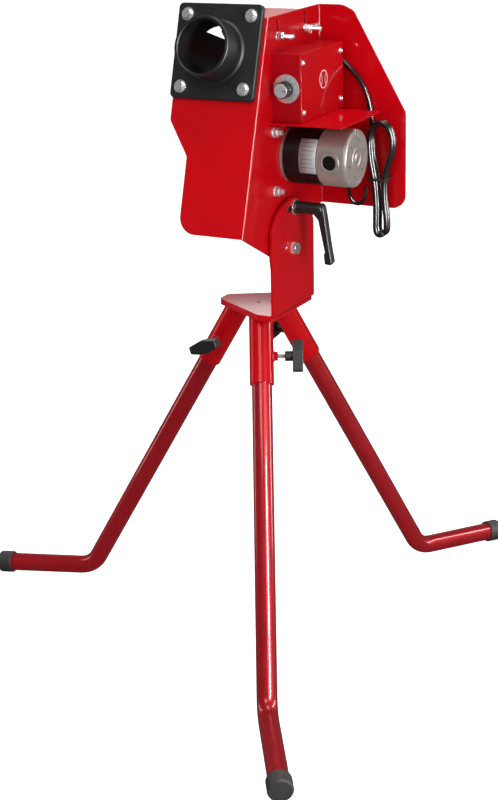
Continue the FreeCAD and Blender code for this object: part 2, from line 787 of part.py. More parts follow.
def motor_shaft():
    shaft = turned([(0, -99), (dim.shaft_r - 0.6, -99), (dim.shaft_r, -98.4), (dim.shaft_r, 66),
                    (6.5, 66), (6.5, 96), (5.0, 96), (5.0, 104), (0, 104)])
    drill(shaft, "XY_Plane", (0, 0, -99), [(0, 0, 4.02)], 24, reverse=True)
    return shaft


def wheel_bolt():
    """Bolt and washer on the wheel end of the shaft."""
    return group(cut(cyl(11.5, 2.0, (0, 0, -101.2)), cyl(4.1, 5, (0, 0, -102))),
                 fuse(hexagon(13.0, 5.4, (0, 0, -106.6)), cyl(4.0, 22.0, (0, 0, -101.4))))


# ---------------------------------------------------------------- motor
tie_reach = 36.0  # tie bolts, from the shaft axis
lead_angle = math.radians(-35)  # lead exit about the shaft, from head +Y towards +Z
lead_x = 72.0


def armature():
    core = turned([(bore_r, 16), (27, 16), (32.2, 20), (32.2, 56), (27, 60), (bore_r, 60)])
    extrude_round(core, "XY_Plane", (0, 0, 66.2), [(0, 0, 13.8), (0, 0, 6.52)], 26.0)
    extrude_round(core, "XY_Plane", (0, 0, 59), [(0, 0, 12.0), (0, 0, bore_r)], 7.6)
    return core


def motor_can():
    return turned([(40.6, dim.can_x0), (dim.motor_r - 1.2, dim.can_x0),
                   (dim.motor_r, dim.can_x0 + 1.2), (dim.motor_r, dim.can_x1),
                   (40.6, dim.can_x1)])


def motor_end_bells():
    """Front bell against the web, and rear bell with the brush bosses."""
    front = turned([(8.4, -2.8), (19.9, -2.8), (19.9, 0), (41.8, 0), (42.4, 0.8), (42.4, 4.99),
                    (40.5, 4.99), (40.5, 11), (36, 11), (36, 7), (17, 7), (17, 8.2),
                    (14.02, 8.2), (14.02, 0.2), (8.4, 0.2)])
    drill(front, "XY_Plane", (0, 0, 10), [(z, y, 3.03) for y, z in MOTOR_SCREWS], 12)
    radius, end = dim.motor_r, dim.motor_len
    rear = turned([(38.5, dim.can_x1), (radius, dim.can_x1), (radius, end - 4),
                   (radius - 1.2, end - 1.4), (radius - 4.2, end - 1.0), (radius - 5.0, end),
                   (0, end), (0, end - 4), (11.02, end - 4), (11.02, end - 12), (15, end - 12),
                   (15, end - 5.5), (38.5, end - 5.5)])
    boss = [(0, dim.brush_x, 15.5)]
    extrude_round(rear, "XZ_Plane", (0, 0, 39), boss, 6.0)
    extrude_round(rear, "XZ_Plane", (0, 0, -39), boss, 6.0, reverse=True)
    drill(rear, "XZ_Plane", (0, 0, -60), [(0, dim.brush_x, 11.1)], 120, reverse=True)
    notches = [fuse(box(14, 9, 12, (sign * 43 - 7, -4.5, end - 4.0)),
                    cyl(4.5, 12, (sign * tie_reach, 0, end - 4.0))) for sign in SIGNS]
    # lead hole; in the shaft frame head +Z is local -X
    lead_axis = Vector(-math.sin(lead_angle), math.cos(lead_angle), 0)
    lead_hole = placed(cyl(6.05, 20), Placement(lead_axis * 32 + Vector(0, 0, lead_x),
                                                Rotation(Vector(0, 0, 1), lead_axis)))
    tie_holes = [cyl(2.3, 22, (sign * tie_reach, 0, 90)) for sign in SIGNS]
    rear = cut(rear, *notches, lead_hole, *tie_holes)
    front = cut(front, *[cyl(2.3, 10, (sign * tie_reach, 0, 4)) for sign in SIGNS])
    return group(front, rear)


def motor_tie_bolts():
    return group(*[fuse(cyl(2.2, 98.5, (sign * tie_reach, 0, 7.2)),
                        cyl(3.9, 3.3, (sign * tie_reach, 0, dim.motor_len - 3.95)))
                   for sign in SIGNS])


def brush_caps():
    """Slotted caps in the brush bosses."""
    return group(*[cut(cyl(11.0, 9.5, (0, sign * 35.0, dim.brush_x), axis),
                       box(1.8, 40, 16, (-0.9, slot_y, dim.brush_x - 8)))
                   for sign, axis, slot_y in ((-1, "-Y", -83.2), (1, "+Y", 43.2))])


def carbon_brushes():
    """Blocks hollowed to the commutator."""
    return group(*[cut(box(6, 21, 9, (-3, y, dim.brush_x - 4.5)), cyl(13.9, 40, (0, 0, 62)))
                   for y in (-34.9, 13.9)])


def field_magnets():
    return group(*[common(cut(cyl(40.4, 46, (0, 0, 13)), cyl(33.2, 50, (0, 0, 12))),
                          box(60, 50, 60, (-30, y, 5))) for y in (14, -64)])


def motor_bearings():
    return group(cut(cyl(14.0, 7.9, (0, 0, 0.25)), cyl(dim.shaft_r + 0.05, 20, (0, 0, -5))),
                 cut(cyl(11.0, 7.8, (0, 0, 97.3)), cyl(5.05, 20, (0, 0, 90))))


def motor_screws():
    """Socket screws through the web into the front bell."""
    return group(*[
        placed(cut(fuse(cyl(5.0, 4.2), cyl(3.0, 9.0, (0, 0, -8.8))), hexagon(5.0, 3, (0, 0, 2.0))),
               pose(-num.panel_t, num.axis_y + y, num.axis_z + z, "-X"))
        for y, z in MOTOR_SCREWS])


# ---------------------------------------------------------------- control box
COVER_SCREWS = [(-35.0, 289.5), (94.0, 289.5), (-35.0, 217.2), (94.0, 217.2)]  # y, z
cover_t = 1.6
cord_x, cord_z = 30.0, 276.0  # cord hole in the far wall
box_y1 = num.box_y0 + num.box_len


def control_box():
    """Tray open towards +X, with four screw tabs at its rim."""
    y0, z0, wall, depth = dim.box_y0, dim.box_z0, dim.box_t, dim.box_d
    tray = cut(box(depth, dim.box_len, dim.box_h, (0, y0, z0)),
               box(depth, dim.box_len - 2 * wall, dim.box_h - 2 * wall,
                   (wall, y0 + wall, z0 + wall)))
    tabs = []
    for y, z in COVER_SCREWS:
        start = num.box_y0 + 0.5 if y < 0 else y - 6
        end = y + 6 if y < 0 else box_y1 - 0.5
        tabs.append(box(9, end - start, 12, (depth - 9, start, z - 6)))
    tray = fuse(tray, *tabs)
    tray = cut(tray, *[cyl(1.58, 12, (depth - 8, y, z), "+X") for y, z in COVER_SCREWS],
               cyl(3.7, 6, (dim.dial_x, y0 + 3, dim.dial_z), "-Y"),
               cyl(6.05, 8, (cord_x, y0 + dim.box_len - 4, cord_z), "+Y"),
               *[cyl(2.6, 6, (-2, y, z), "+X") for y, z in BOX_SCREWS])

    def is_long_corner(edge):
        bounds = edge.BoundBox
        return (edge.Curve.TypeId == "Part::GeomLine" and abs(edge.Length - num.box_d) < 0.01
                and abs(abs(edge.tangentAt(edge.FirstParameter).x) - 1) < 1e-6
                and bounds.XMin < 0.01
                and (abs(bounds.YMin - num.box_y0) < 0.01 or abs(bounds.YMax - box_y1) < 0.01))

    doc.recompute()
    rounded = new("Part::Fillet", "Round")
    rounded.Base = tray
    rounded.Edges = [(i, 1.2, 1.2) for i, edge in enumerate(tray.Shape.Edges, 1)
                     if is_long_corner(edge)]
    return rounded


def box_cover():
    cover = new_body()
    y0, z0 = dim.box_y0, dim.box_z0
    extrude(cover, "YZ_Plane", (0, 0, dim.box_d),
            rect(y0, z0, y0 + dim.box_len, z0 + dim.box_h), cover_t)
    corners = [(num.box_d + cover_t / 2, y, z) for y in (num.box_y0, box_y1)
               for z in (num.box_z0, num.box_z0 + num.box_h)]
    soften(cover, (1.2, edges_along(X_DIR, *corners)), (0.7, edges_at("X", num.box_d + cover_t)))
    drill(cover, "YZ_Plane", (0, 0, dim.box_d + 3), [(y, z, 2.1) for y, z in COVER_SCREWS], 6)
    return cover


def cross_slot(length, width, z):
    return [box(length, width, 2, (-length / 2, -width / 2, z)),
            box(width, length, 2, (-width / 2, -length / 2, z))]


def cover_screws():
    screws = []
    for y, z in COVER_SCREWS:
        screw = turned([(0, 2.9), (1.6, 2.75), (3.0, 2.1), (3.9, 0.9), (4.1, 0), (1.55, 0),
                        (1.55, -8.0), (0, -8.0)])
        screws.append(placed(cut(screw, *cross_slot(5, 0.9, 2.0)),
                             pose(num.box_d + cover_t, y, z, "+X")))
    return group(*screws)


def potentiometer():
    y0 = dim.box_y0
    shell = fuse(cyl(12.0, 11.0, (dim.dial_x, y0 + dim.box_t, dim.dial_z), "+Y"),
                 cyl(3.6, 7.5, (dim.dial_x, y0 + dim.box_t + 1, dim.dial_z), "-Y"))
    return cut(shell, cyl(3.05, 16, (dim.dial_x, y0 + 11, dim.dial_z), "-Y"))


def control_board():
    """Board with blocks and round parts on it, on four standoffs."""
    board = fuse(box(1.6, 96, 76, (9, -8, 214)), box(16, 22, 30, (9.5, 4, 222)),
                 cyl(9, 24, (10, 50, 235), "+X"), cyl(9, 24, (10, 50, 262), "+X"),
                 box(20, 14, 26, (9.5, 70, 225)), box(12, 30, 12, (9.5, 5, 270)))
    return fuse(board, *[cyl(3, 8.6, (num.box_t, y, z), "+X")
                         for y, z in ((-4, 218), (84, 218), (-4, 286), (84, 286))])


def motor_shelf():
    """Shelf over the motor, with a lip down the web."""
    shelf = new_body()
    y0, y1 = dim.shelf_y0, dim.shelf_y0 + dim.shelf_len
    extrude(shelf, "XY_Plane", (0, 0, dim.box_z0 - dim.shelf_t),
            rect(0, y0, dim.shelf_w, y1), dim.shelf_t)
    extrude(shelf, "YZ_Plane", ORIGIN, rect(-24, 188.6, 70, dim.box_z0 - 0.5), dim.shelf_t)
    mid_z = num.box_z0 - num.shelf_t / 2
    soften(shelf, (3.0, edges_along(Z_DIR, *[(num.shelf_w, y.value, mid_z) for y in (y0, y1)])))
    drill(shelf, "YZ_Plane", (0, 0, 5), [(y, z, 2.6) for y, z in SHELF_SCREWS], 8)
    return shelf


def panel_screws():
    """Screws that hold the shelf lip and the control box to the web."""
    return group(*[
        placed(cut(fuse(cone(4.3, 3.2, 2.6), cyl(2.5, grip + 3.4, (0, 0, -grip - 2.9))),
                   *cross_slot(5.2, 1.0, 1.6)), pose(grip, y, z, "+X"))
        for grip, spots in ((num.shelf_t, SHELF_SCREWS), (num.box_t, BOX_SCREWS))
        for y, z in spots])


# ---------------------------------------------------------------- speed dial
def speed_knob():
    """Knob with 24 grip flutes."""
    radius = dim.knob_r
    knob = turned([(3.7, 7.2), (3.7, 2.2), (10.2, 2.2), (radius, 3.0), (radius, 18.8),
                   (radius - 0.8, 19.6), (10.6, 19.6), (10.6, 19.0), (0, 19.0), (0, 16.5),
                   (3.02, 16.5), (3.02, 7.2)])
    flute = drill(knob, "XY_Plane", (0, 0, 21), [(num.knob_r + 0.35, 0, 0.95)], 17)
    repeat_round(knob, flute, 24)
    return knob


def dial_skirt():
    """Skirt behind the knob, and the disc on the knob's face."""
    return group(turned([(3.75, 0.5), (dim.skirt_r, 0.5), (dim.skirt_r, 0.9),
                         (dim.skirt_r - 5.5, 2.19), (3.75, 2.19)]),
                 turned([(0, 19.02), (10.5, 19.02), (10.5, 19.9), (9.8, 20.5), (0, 20.5)]))


def pot_shaft():
    return cyl(3.0, 26.4, (0, 0, -10))


# ---------------------------------------------------------------- pinch plate over the wheel
pinch_x = -dim.panel_t - 0.3  # face towards the web
pinch_under = dim.pinch_z - dim.pinch_t


def pinch_plate():
    """Angle plate with its short flange down the web."""
    plate = new_body()
    top, thick, outer = dim.pinch_z, dim.pinch_t, pinch_x - dim.pinch_w
    extrude(plate, "XZ_Plane", (0, 0, -dim.pinch_y0),
            [(pinch_x, 308), (pinch_x, top), (outer, top), (outer, pinch_under),
             (pinch_x - thick, pinch_under), (pinch_x - thick, 308)],
            dim.pinch_len, reverse=True)
    corners = [(outer.value, y, num.pinch_z - num.pinch_t / 2)
               for y in (num.pinch_y0, num.pinch_y0 + num.pinch_len)]
    inner_bend = ((pinch_x - thick).value, 10, pinch_under.value)
    soften(plate, (dim.bend_r_out - 1.0, edges_along(Y_DIR, (pinch_x.value, 10, num.pinch_z))),
           (1.5, edges_along(Y_DIR, inner_bend)), (8.0, edges_along(Z_DIR, *corners)))
    drill(plate, "YZ_Plane", (0, 0, 1), [(y, dim.pinch_bolt_z, 3.05) for y in PINCH_BOLTS], 12)
    return plate


def pinch_pad():
    """Pad under the plate, in line with the feed tube, with ramped ends."""
    block = new_body()
    near, low = driven(-3), dim.pad_z
    far = near + dim.pad_len
    extrude(block, "YZ_Plane", (0, 0, -dim.tube_x - dim.pad_w / 2),
            [(near, pinch_under), (near, low + 14), (6, low + 3.5), (18, low), (far - 16, low),
             (far, low + 3), (far, pinch_under)], dim.pad_w)
    return block


def pinch_bolts():
    """Round-head bolts and their washers."""
    parts = []
    for y in PINCH_BOLTS:
        bolt = fuse(common(cyl(7.5, 4.0), cone(7.5, 3.2, 4.2)), cyl(3.0, 33.0, (0, 0, -33.0)))
        washer = cut(cyl(6.5, 1.4, (0.1, 0, 0)), cyl(3.05, 4, (0, 0, -1)))
        head_x = (pinch_x - dim.pinch_t).value
        parts += [placed(bolt, pose(head_x, y.value, num.pinch_bolt_z, "-X")),
                  placed(washer, pose(0.05, y.value, num.pinch_bolt_z, "+X"))]
    return group(*parts)


# outline of one wing: distance from the nut's axis, height
WING = [(3.5, 0.9), (9.0, 2.0), (13.4, 6.8), (15.8, 12.2), (14.8, 15.0), (11.0, 15.2),
        (7.8, 11.2), (4.2, 7.4)]


def wing_nut(angle):
    """Wing nut, seat at z=0, turned by angle."""
    parts = [cone(6.2, 5.0, 7.6)]
    for sign in SIGNS:
        wing = new_body()
        points = [(sign * reach, z) for reach, z in WING[::sign]]
        extrude(wing, "XZ_Plane", (0, 0, 1.8), points, 3.6, reverse=True)
        parts.append(wing)
    return placed(cut(fuse(*parts), cyl(3.05, 30, (0, 0, -5))),
                  Placement(Vector(), Rotation(Vector(0, 0, 1), angle)))


# ---------------------------------------------------------------- clamp lever
def clamp_stud():
    return group(cut(cyl(12.0, 2.2, (0, 0, 0.1)), cyl(4.05, 5, (0, 0, -1))),
                 cyl(4.0, 52.0, (0, 0, -20.0)))


def clamp_lever():
    """Round boss with an arm hanging towards head -Z."""
    lever = turned([(4.02, 2.3), (10.8, 2.3), (10.8, 4.5), (9.8, 6.0), (9.6, 42.0), (8.8, 47.0),
                    (6.0, 50.5), (0, 51.5), (0, 34.0), (4.02, 34.0)])
    arm_w = 15.0
    extrude(lever, "XZ_Plane", ORIGIN,
            [(-7.5, 38.0), (-8.0, 46.0), (-3.0, 51.0), (10, 53.5), (53, 59.5), (82, 64.6),
             (86, 61.2), (85, 52.2), (70, 50.4), (66, 52.4), (16, 42.0), (10, 36.0)],
            arm_w, mid=True)

    def is_arm_rim(edge):
        """Edge in a side face of the arm, clear of the boss."""
        bounds = edge.BoundBox
        return (abs(abs(bounds.YMin) - arm_w / 2) < 1e-3
                and abs(abs(bounds.YMax) - arm_w / 2) < 1e-3
                and abs(bounds.YMin - bounds.YMax) < 1e-3
                and bounds.XMax > 12 and bounds.XMin > 9)

    soften(lever, (2.4, [is_arm_rim]))
    return lever


# ---------------------------------------------------------------- bracket and hub
HUB_SCREWS = [(1.7, -9.4), (19.0, 1.2)]  # x, y
hub_under = dim.hub_z - dim.hub_t
hub_inset = 3.0  # hub plate edge, in from the bracket's outer face


def hub_outline(edge_x):
    half, tip_x, tip_w = dim.bracket_hw, dim.hub_tip_x, dim.hub_tip_w
    return [(edge_x, -half), (dim.hub_side_x, -half), (-tip_x, -tip_w), (-tip_x, tip_w),
            (dim.hub_side_x, half), (edge_x, half)]


def hub_corners(z):
    return edges_along(Z_DIR, *[
        (x, sign * half, z) for sign in SIGNS
        for x, half in ((num.hub_side_x, num.bracket_hw), (-num.hub_tip_x, num.hub_tip_w))])


def head_bracket():
    """Upright with an arched top and arc slot, and a foot on the hub plate."""
    bracket = new_body()
    half, radius, base = num.bracket_hw, num.bracket_r, num.hub_z
    pivot = Vector(num.pivot_y, num.pivot_z, 0)
    left, right = [Vector(y, pivot.y + math.sqrt(radius * radius - (y - pivot.x) ** 2), 0)
                   for y in (-half, half)]
    start, end = [math.atan2(top.y - pivot.y, top.x - pivot.x) for top in (right, left)]
    sk = sketch(bracket, "YZ_Plane", (0, 0, dim.bracket_x))
    sk.addGeometry(line(Vector(-half, base, 0), Vector(half, base, 0)), False)
    sk.addGeometry(line(Vector(half, base, 0), right), False)
    sk.addGeometry(arc(pivot, radius, start, end), False)
    sk.addGeometry(line(left, Vector(-half, base, 0)), False)
    close_loop(sk, 0, 4)
    fix_point(sk, 0, 1, -dim.bracket_hw, dim.hub_z)
    fix_point(sk, 0, 2, dim.bracket_hw, dim.hub_z)
    sk.addConstraint(Sketcher.Constraint("Vertical", 1))
    sk.addConstraint(Sketcher.Constraint("Vertical", 3))
    fix_point(sk, 2, 3, dim.pivot_y, dim.pivot_z)
    constrain(sk, dim.bracket_r, "Radius", 2)
    pad(bracket, sk, dim.bracket_t, reverse=True)
    extrude(bracket, "XY_Plane", (0, 0, dim.hub_z), hub_outline(dim.bracket_x), dim.bracket_t)
    inner_bend = (num.bracket_x - num.bracket_t, 0, base + num.bracket_t)
    soften(bracket, (9.0, hub_corners(base + 2)), (2.0, edges_along(Y_DIR, inner_bend)),
           (6.5, edges_along(Y_DIR, (num.bracket_x, 0, base))))
    drill(bracket, "XY_Plane", (0, 0, dim.hub_z + 10), [(x, y, 3.05) for x, y in HUB_SCREWS], 14)
    # pivot hole and arc slot
    sk = sketch(bracket, "YZ_Plane", (0, 0, dim.bracket_x + 1))
    circle(sk, dim.pivot_y, dim.pivot_z, dim.pivot_r + 0.075)
    start, end = math.radians(90 - num.slot_hi), math.radians(90 - num.slot_lo)
    mid_r, half_w = num.clamp_r, num.slot_hw
    add_blocked(sk, arc(pivot, mid_r + half_w, start, end),
                arc(polar(pivot, mid_r, end), half_w, end, end + math.pi),
                arc(pivot, mid_r - half_w, start, end),
                arc(polar(pivot, mid_r, start), half_w, start - math.pi, start))
    pocket(bracket, sk, 8)
    return bracket


def hub_plate():
    plate = new_body()
    extrude(plate, "XY_Plane", (0, 0, hub_under), hub_outline(dim.bracket_x - hub_inset),
            dim.hub_t)
    z = num.hub_z - 2
    ends = [(num.bracket_x - hub_inset, sign * num.bracket_hw, z) for sign in SIGNS]
    soften(plate, (9.0, hub_corners(z)), (4.0, edges_along(Z_DIR, *ends)))
    drill(plate, "XY_Plane", (0, 0, dim.hub_z + 2), [(x, y, 3.3) for x, y in HUB_SCREWS], 10)
    return plate


def hub_screws():
    return group(*[fuse(hexagon(10.0, 4.0, (x, y, hub_under - 4.0)),
                        cyl(3.0, 8.4, (x, y, hub_under - 1))) for x, y in HUB_SCREWS])


def pivot_bolt():
    seat = num.bracket_x
    head = common(hexagon(17.0, 6.4, (0, 0, seat + 2.0)), cone(11.9, 8.6, 8.4, (0, 0, seat)))
    return group(cut(cyl(10.2, 2.0, (0, 0, seat)), cyl(5.1, 6, (0, 0, seat - 2))),
                 fuse(head, cyl(dim.pivot_r, 28.0, (0, 0, seat - 24.0))))


def pivot_nut():
    seat = num.head_x - num.panel_t
    return group(cut(cyl(10.2, 2.0, (0, 0, seat - 2.1)), cyl(5.1, 6, (0, 0, seat - 5))),
                 cut(hexagon(17.0, 8.4, (0, 0, seat - 10.6)), cyl(5.04, 20, (0, 0, seat - 16))))


# ---------------------------------------------------------------- tripod
# name, direction about the hub, turn of the foot, turn of the lock knob (degrees), lift of
# the leg in its socket
LEGS = [("left", 181.2, 12.0, -40.0, 1.268),
        ("front", -62.6, 7.0, 2.0, 0),
        ("right", 64.8, -7.1, 80.0, 0)]


def socket_frame(around):
    """Frame at the top of a socket's axis: +Z up the leg, +Y round the hub."""
    splay, around = math.radians(num.splay), math.radians(around)
    out = Vector(math.cos(around), math.sin(around), 0)
    side = Vector(-math.sin(around), math.cos(around), 0)
    up = out * -math.sin(splay) + Vector(0, 0, math.cos(splay))
    normal = out * math.cos(splay) + Vector(0, 0, math.sin(splay))
    return Placement(out * num.leg_r0 + Vector(0, 0, hub_under.value),
                     Rotation(normal, side, up, "ZXY"))


SOCKETS = {leg[0]: socket_frame(leg[1]) for leg in LEGS}


def screw_hole():
    return cyl(3.06, 20, (0, 10, -dim.knob_down), "+Y")


def leg_sockets():
    """Socket tubes, trimmed level with the hub plate's underside."""
    sockets = []
    for frame in SOCKETS.values():
        tube = cyl(dim.socket_ro, dim.socket_len + 25, (0, 0, -dim.socket_len))
        bore = cyl(dim.socket_ri, dim.socket_len + 40, (0, 0, -dim.socket_len - 5))
        level = Rotation(Vector(0, 1, 0), num.splay)
        above = placed(box(160, 160, 80), Placement(level.multVec(Vector(-80, -80, 0)), level))
        sockets.append(placed(cut(tube, bore, above, screw_hole()), frame))
    return group(*sockets)


def weld_nuts():
    """Hex nuts on the sockets, hollowed to the tube."""
    return group(*[
        placed(cut(hexagon(12.8, 8.6, (0, 17.0, -dim.knob_down), "+Y"),
                   cyl(dim.socket_ro, 40, (0, 0, -dim.knob_down - 20)), screw_hole()), frame)
        for frame in SOCKETS.values()])


def leg():
    """Tube swept down the leg and round the bend into the foot."""
    tube = new_body()
    path = sketch(tube, "XZ_Plane")
    path.addGeometry(line(Vector(0, -num.leg_top, 0), Vector(0, num.bend_a_z, 0)), False)
    path.addGeometry(arc(Vector(num.leg_bend_r, num.bend_a_z, 0), num.leg_bend_r,
                         math.pi, math.pi + foot_turn), False)
    path.addGeometry(line(Vector(bend_end.x, bend_end.z, 0),
                          Vector(num.foot_x, num.foot_z, 0)), False)
    for i in (0, 1):
        path.addConstraint(Sketcher.Constraint("Coincident", i, 2, i + 1, 1))
    fix_point(path, 0, 1, 0, -dim.leg_top)
    fix_point(path, 0, 2, 0, dim.bend_a_z)
    fix_point(path, 1, 3, dim.leg_bend_r, dim.bend_a_z)
    constrain(path, dim.bend_b_x, "DistanceX", -1, 1, 2, 1)
    fix_point(path, 2, 2, dim.foot_x, dim.foot_z)
    profile = sketch(tube, "XY_Plane", (0, 0, -dim.leg_top))
    circle(profile, 0, 0, dim.leg_ro)
    circle(profile, 0, 0, dim.leg_ri)
    pipe = feature(tube, "PartDesign::AdditivePipe", "Pipe")
    pipe.Profile = profile
    pipe.Spine = path
    return tube


def foot_cap(leg_place):
    """Cap on the end of the foot, cut flat at floor level."""
    length, radius, bore = dim.cap_len, dim.cap_ro, dim.leg_ro + 0.03
    cap = turned([(0, 0), (radius - 2.5, 0), (radius - 0.7, -0.9), (radius, -2.6),
                  (radius, -length + 1.2), (radius - 0.9, -length), (bore, -length),
                  (bore, -3.38), (0, -3.38)])
    end = Placement(leg_corner + foot_dir * num.foot_len, Rotation(Vector(0, 0, 1), foot_dir))
    return cut(placed(cap, leg_place * end), box(2400, 2400, 60, (-1200, -1200, -60)))


def lock_knob():
    """Tapered bar knob with a round boss, own axis +Z."""
    knob = new_body()
    extrude(knob, "XY_Plane", (0, 0, 48.5),
            [(-6, -25), (6, -25), (10.5, -7), (10.5, 7), (6, 25), (-6, 25), (-10.5, 7),
             (-10.5, -7)], 16.5)
    soften(knob, (2.6, edges_along(Z_DIR, *[(i * 6, j * 25, 55) for i, j in CORNERS])),
           (1.6, edges_at("Z", 65)))
    revolve(knob, [(0, 36.5), (7.4, 36.5), (7.9, 37.2), (7.9, 50), (0, 50)])
    drill(knob, "XY_Plane", (0, 0, 36.5), [(0, 0, 3.02)], 19.7, reverse=True)
    return knob


# ---------------------------------------------------------------- cords
def cord_along(points, radius, name):
    """Round cord along a chain of points, with an arc at every turn."""
    points = [Vector(*point) for point in points]
    edges, last = [], points[0]
    for before, corner, after in zip(points, points[1:], points[2:]):
        run_in, run_out = corner - before, after - corner
        trim = 0.48 * min(run_in.Length, run_out.Length)
        run_in.normalize()
        run_out.normalize()
        bend = math.acos(max(-1.0, min(1.0, run_in.dot(run_out))))
        if bend < 1e-3:
            continue
        bend_r = trim / math.tan(bend / 2)
        start, end = corner - run_in * trim, corner + run_out * trim
        inward = (run_out - run_in).normalize()
        middle = corner + inward * (bend_r / math.cos(bend / 2) - bend_r)
        if (start - last).Length > 1e-3:
            edges.append(Part.makeLine(last, start))
        edges.append(Part.Arc(start, middle, end).toShape())
        last = end
    edges.append(Part.makeLine(last, points[-1]))
    ring = Part.Wire([Part.Circle(points[0], points[1] - points[0], radius).toShape()])
    cord = doc.addObject("Part::Feature", name)
    cord.Shape = Part.Wire(edges).makePipeShell([ring], True, False)
    return cord


# one turn of the hanging coil, (x, z)
COIL = [(92.5, 146.0), (95.0, 120.0), (101.0, 92.0), (104.2, 60.0), (104.4, 32.0),
        (104.4, 14.0), (106.6, 7.6), (112.0, 5.2), (117.4, 7.6), (119.6, 14.0),
        (119.6, 32.0), (116.0, 60.0), (116.0, 92.0), (121.5, 115.0), (129.0, 136.0),
        (131.0, 156.0), (125.5, 174.0), (112.0, 184.5), (99.0, 175.0), (93.5, 161.0)]
coil_y, coil_pitch, coil_points = 115.8, 8.6, 49
# from the control box to the coil, (x, y, z)
CORD_START = [
    (cord_x, 96.0, cord_z), (cord_x, 101.5, cord_z), (cord_x, 108.4, cord_z),
    (33.5, 113.6, 275.2), (40.5, 115.6, 271.8), (49.8, coil_y, 265.0), (61.0, coil_y, 255.0),
    (73.4, coil_y, 240.0), (82.8, coil_y, 220.5), (89.0, coil_y, 198.0), (91.5, coil_y, 172.0)]
# motor lead beyond the motor, (x, y, z)
LEAD_RUN = [(71.0, 66.0, 107.0), (67.0, 78.0, 84.0), (66.0, 85.0, 66.0), (74.0, 88.0, 55.0),
            (84.0, 89.0, 56.0), (90.5, 89.4, 66.0), (93.0, 89.4, 84.0)]


def power_cord():
    turns = len(COIL)
    coil = []
    for i in range(coil_points):
        x, z = COIL[i % turns]
        coil.append((x, coil_y - coil_pitch * i / turns, z))
    return cord_along(CORD_START + coil, num.cord_r, "PowerCord")


def lead_exit(distance):
    """Point on the lead's exit line, at a distance from the shaft axis."""
    return Vector(lead_x, num.axis_y + distance * math.cos(lead_angle),
                  num.axis_z + distance * math.sin(lead_angle))


def motor_lead():
    return cord_along([lead_exit(38), lead_exit(44)] + LEAD_RUN, num.lead_r, "MotorLead")


def cord_tie():
    """Flat rectangular band round the coil."""
    return cut(box(27.9, 31.7, 3.4, (94.7, 89.6, 93.0)), box(25.5, 29.3, 8.0, (95.9, 90.8, 91.0)))


def cord_grommets():
    """Flanged grommet in the control box, and a plain sleeve in the motor's rear bell."""
    flanged = cut(fuse(cyl(6.0, 5.4, (cord_x, 100.9, cord_z), "+Y"),
                       cyl(8.0, 2.0, (cord_x, 104.35, cord_z), "+Y"),
                       cyl(8.0, 1.8, (cord_x, 100.9, cord_z), "+Y")),
                  cyl(4.4, 20, (cord_x, 92, cord_z), "+Y"))
    out = Vector(0, math.cos(lead_angle), math.sin(lead_angle))
    sleeve = placed(cut(cyl(6.0, 8.0), cyl(3.6, 20, (0, 0, -4))),
                    Placement(lead_exit(38.6), Rotation(Vector(0, 0, 1), out)))
    return group(flanged, sleeve)


# ---------------------------------------------------------------- assembly
nodes = []
FOOTPRINT = pose(num.set_x, num.set_y, 0)
HUB = Placement()


def add_node(name, obj, place):
    obj.Label = name
    obj.Placement = FOOTPRINT * place * obj.Placement
    nodes.append((name, obj))


# frame, and the pieces drawn in it; each function's name is its node's name
PIECES = [
    (HEAD, [frame_panel, m8_bolts, m8_nuts, friction_pad, wheel_guard]),
    (HEAD * TUBE, [feed_tube, feed_flange]),
    (SPIN, [wheel_tyre, wheel_hub, motor_shaft, wheel_bolt, armature, motor_can,
            motor_end_bells, motor_tie_bolts, brush_caps, carbon_brushes, field_magnets,
            motor_bearings]),
    (HEAD, [motor_screws, control_box, box_cover, cover_screws, potentiometer, control_board,
            motor_shelf, panel_screws]),
    (DIAL, [speed_knob, dial_skirt, pot_shaft]),
    (HEAD, [pinch_plate, pinch_pad, pinch_bolts]),
    (LEVER, [clamp_stud, clamp_lever]),
    (HUB, [head_bracket, hub_plate, hub_screws]),
    (PIVOT, [pivot_bolt, pivot_nut]),
    (HUB, [leg_sockets, weld_nuts]),
    (HEAD, [power_cord, motor_lead, cord_tie, cord_grommets]),
]
for frame, builders in PIECES:
    for build in builders:
        add_node(build.__name__, build(), frame)

for side, y, angle in (("near", num.pinch_bolt_ya, 70.0), ("far", num.pinch_bolt_yb, 105.0)):
    add_node("wing_nut_" + side, wing_nut(angle), HEAD * pose(1.5, y, num.pinch_bolt_z, "+X"))

for side, around, twist, knob_turn, lift in LEGS:
    leg_place = SOCKETS[side] * Placement(Vector(0, 0, lift), Rotation(Vector(0, 0, 1), twist))
    add_node("leg_" + side, leg(), leg_place)
    add_node("foot_cap_" + side, foot_cap(leg_place), HUB)
    # knob and screw: +Z is socket +Y
    knob_place = SOCKETS[side] * Placement(Vector(0, 0, -num.knob_down),
                                           Rotation(Vector(0, 1, 0), knob_turn) * ROT["+Y"])
    add_node("lock_screw_" + side, cyl(dim.screw_r, 40.0, (0, 0, 16.1)), knob_place)
    add_node("lock_knob_" + side, lock_knob(), knob_place)

# ---------------------------------------------------------------- check and write
doc.recompute()
bad = []
for obj in doc.Objects:
    faults = [state for state in obj.State if state in ("Invalid", "Error")]
    if faults:
        bad.append("%s (%s): %s" % (obj.Name, obj.Label, faults))
for name, obj in nodes:
    shape = obj.Shape
    if shape.isNull() or not shape.isValid() or not shape.Solids:
        bad.append("%s: null, invalid or no solid" % name)
if bad:
    raise RuntimeError("; ".join(bad))
os.makedirs("parts", exist_ok=True)
for name, obj in nodes:
    obj.Shape.exportStep("parts/%s.step" % name)
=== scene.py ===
# A wheel-type ball thrower on a three-legged stand, +Z up, in metres.
# The motor shaft lies along X and the speed dial faces -Y. The stand's hub is centred at HUB.
# Details of the head are laid out in millimetres in the slightly tilted head frame.
import bpy
import bmesh
import math
from mathutils import Vector, Matrix

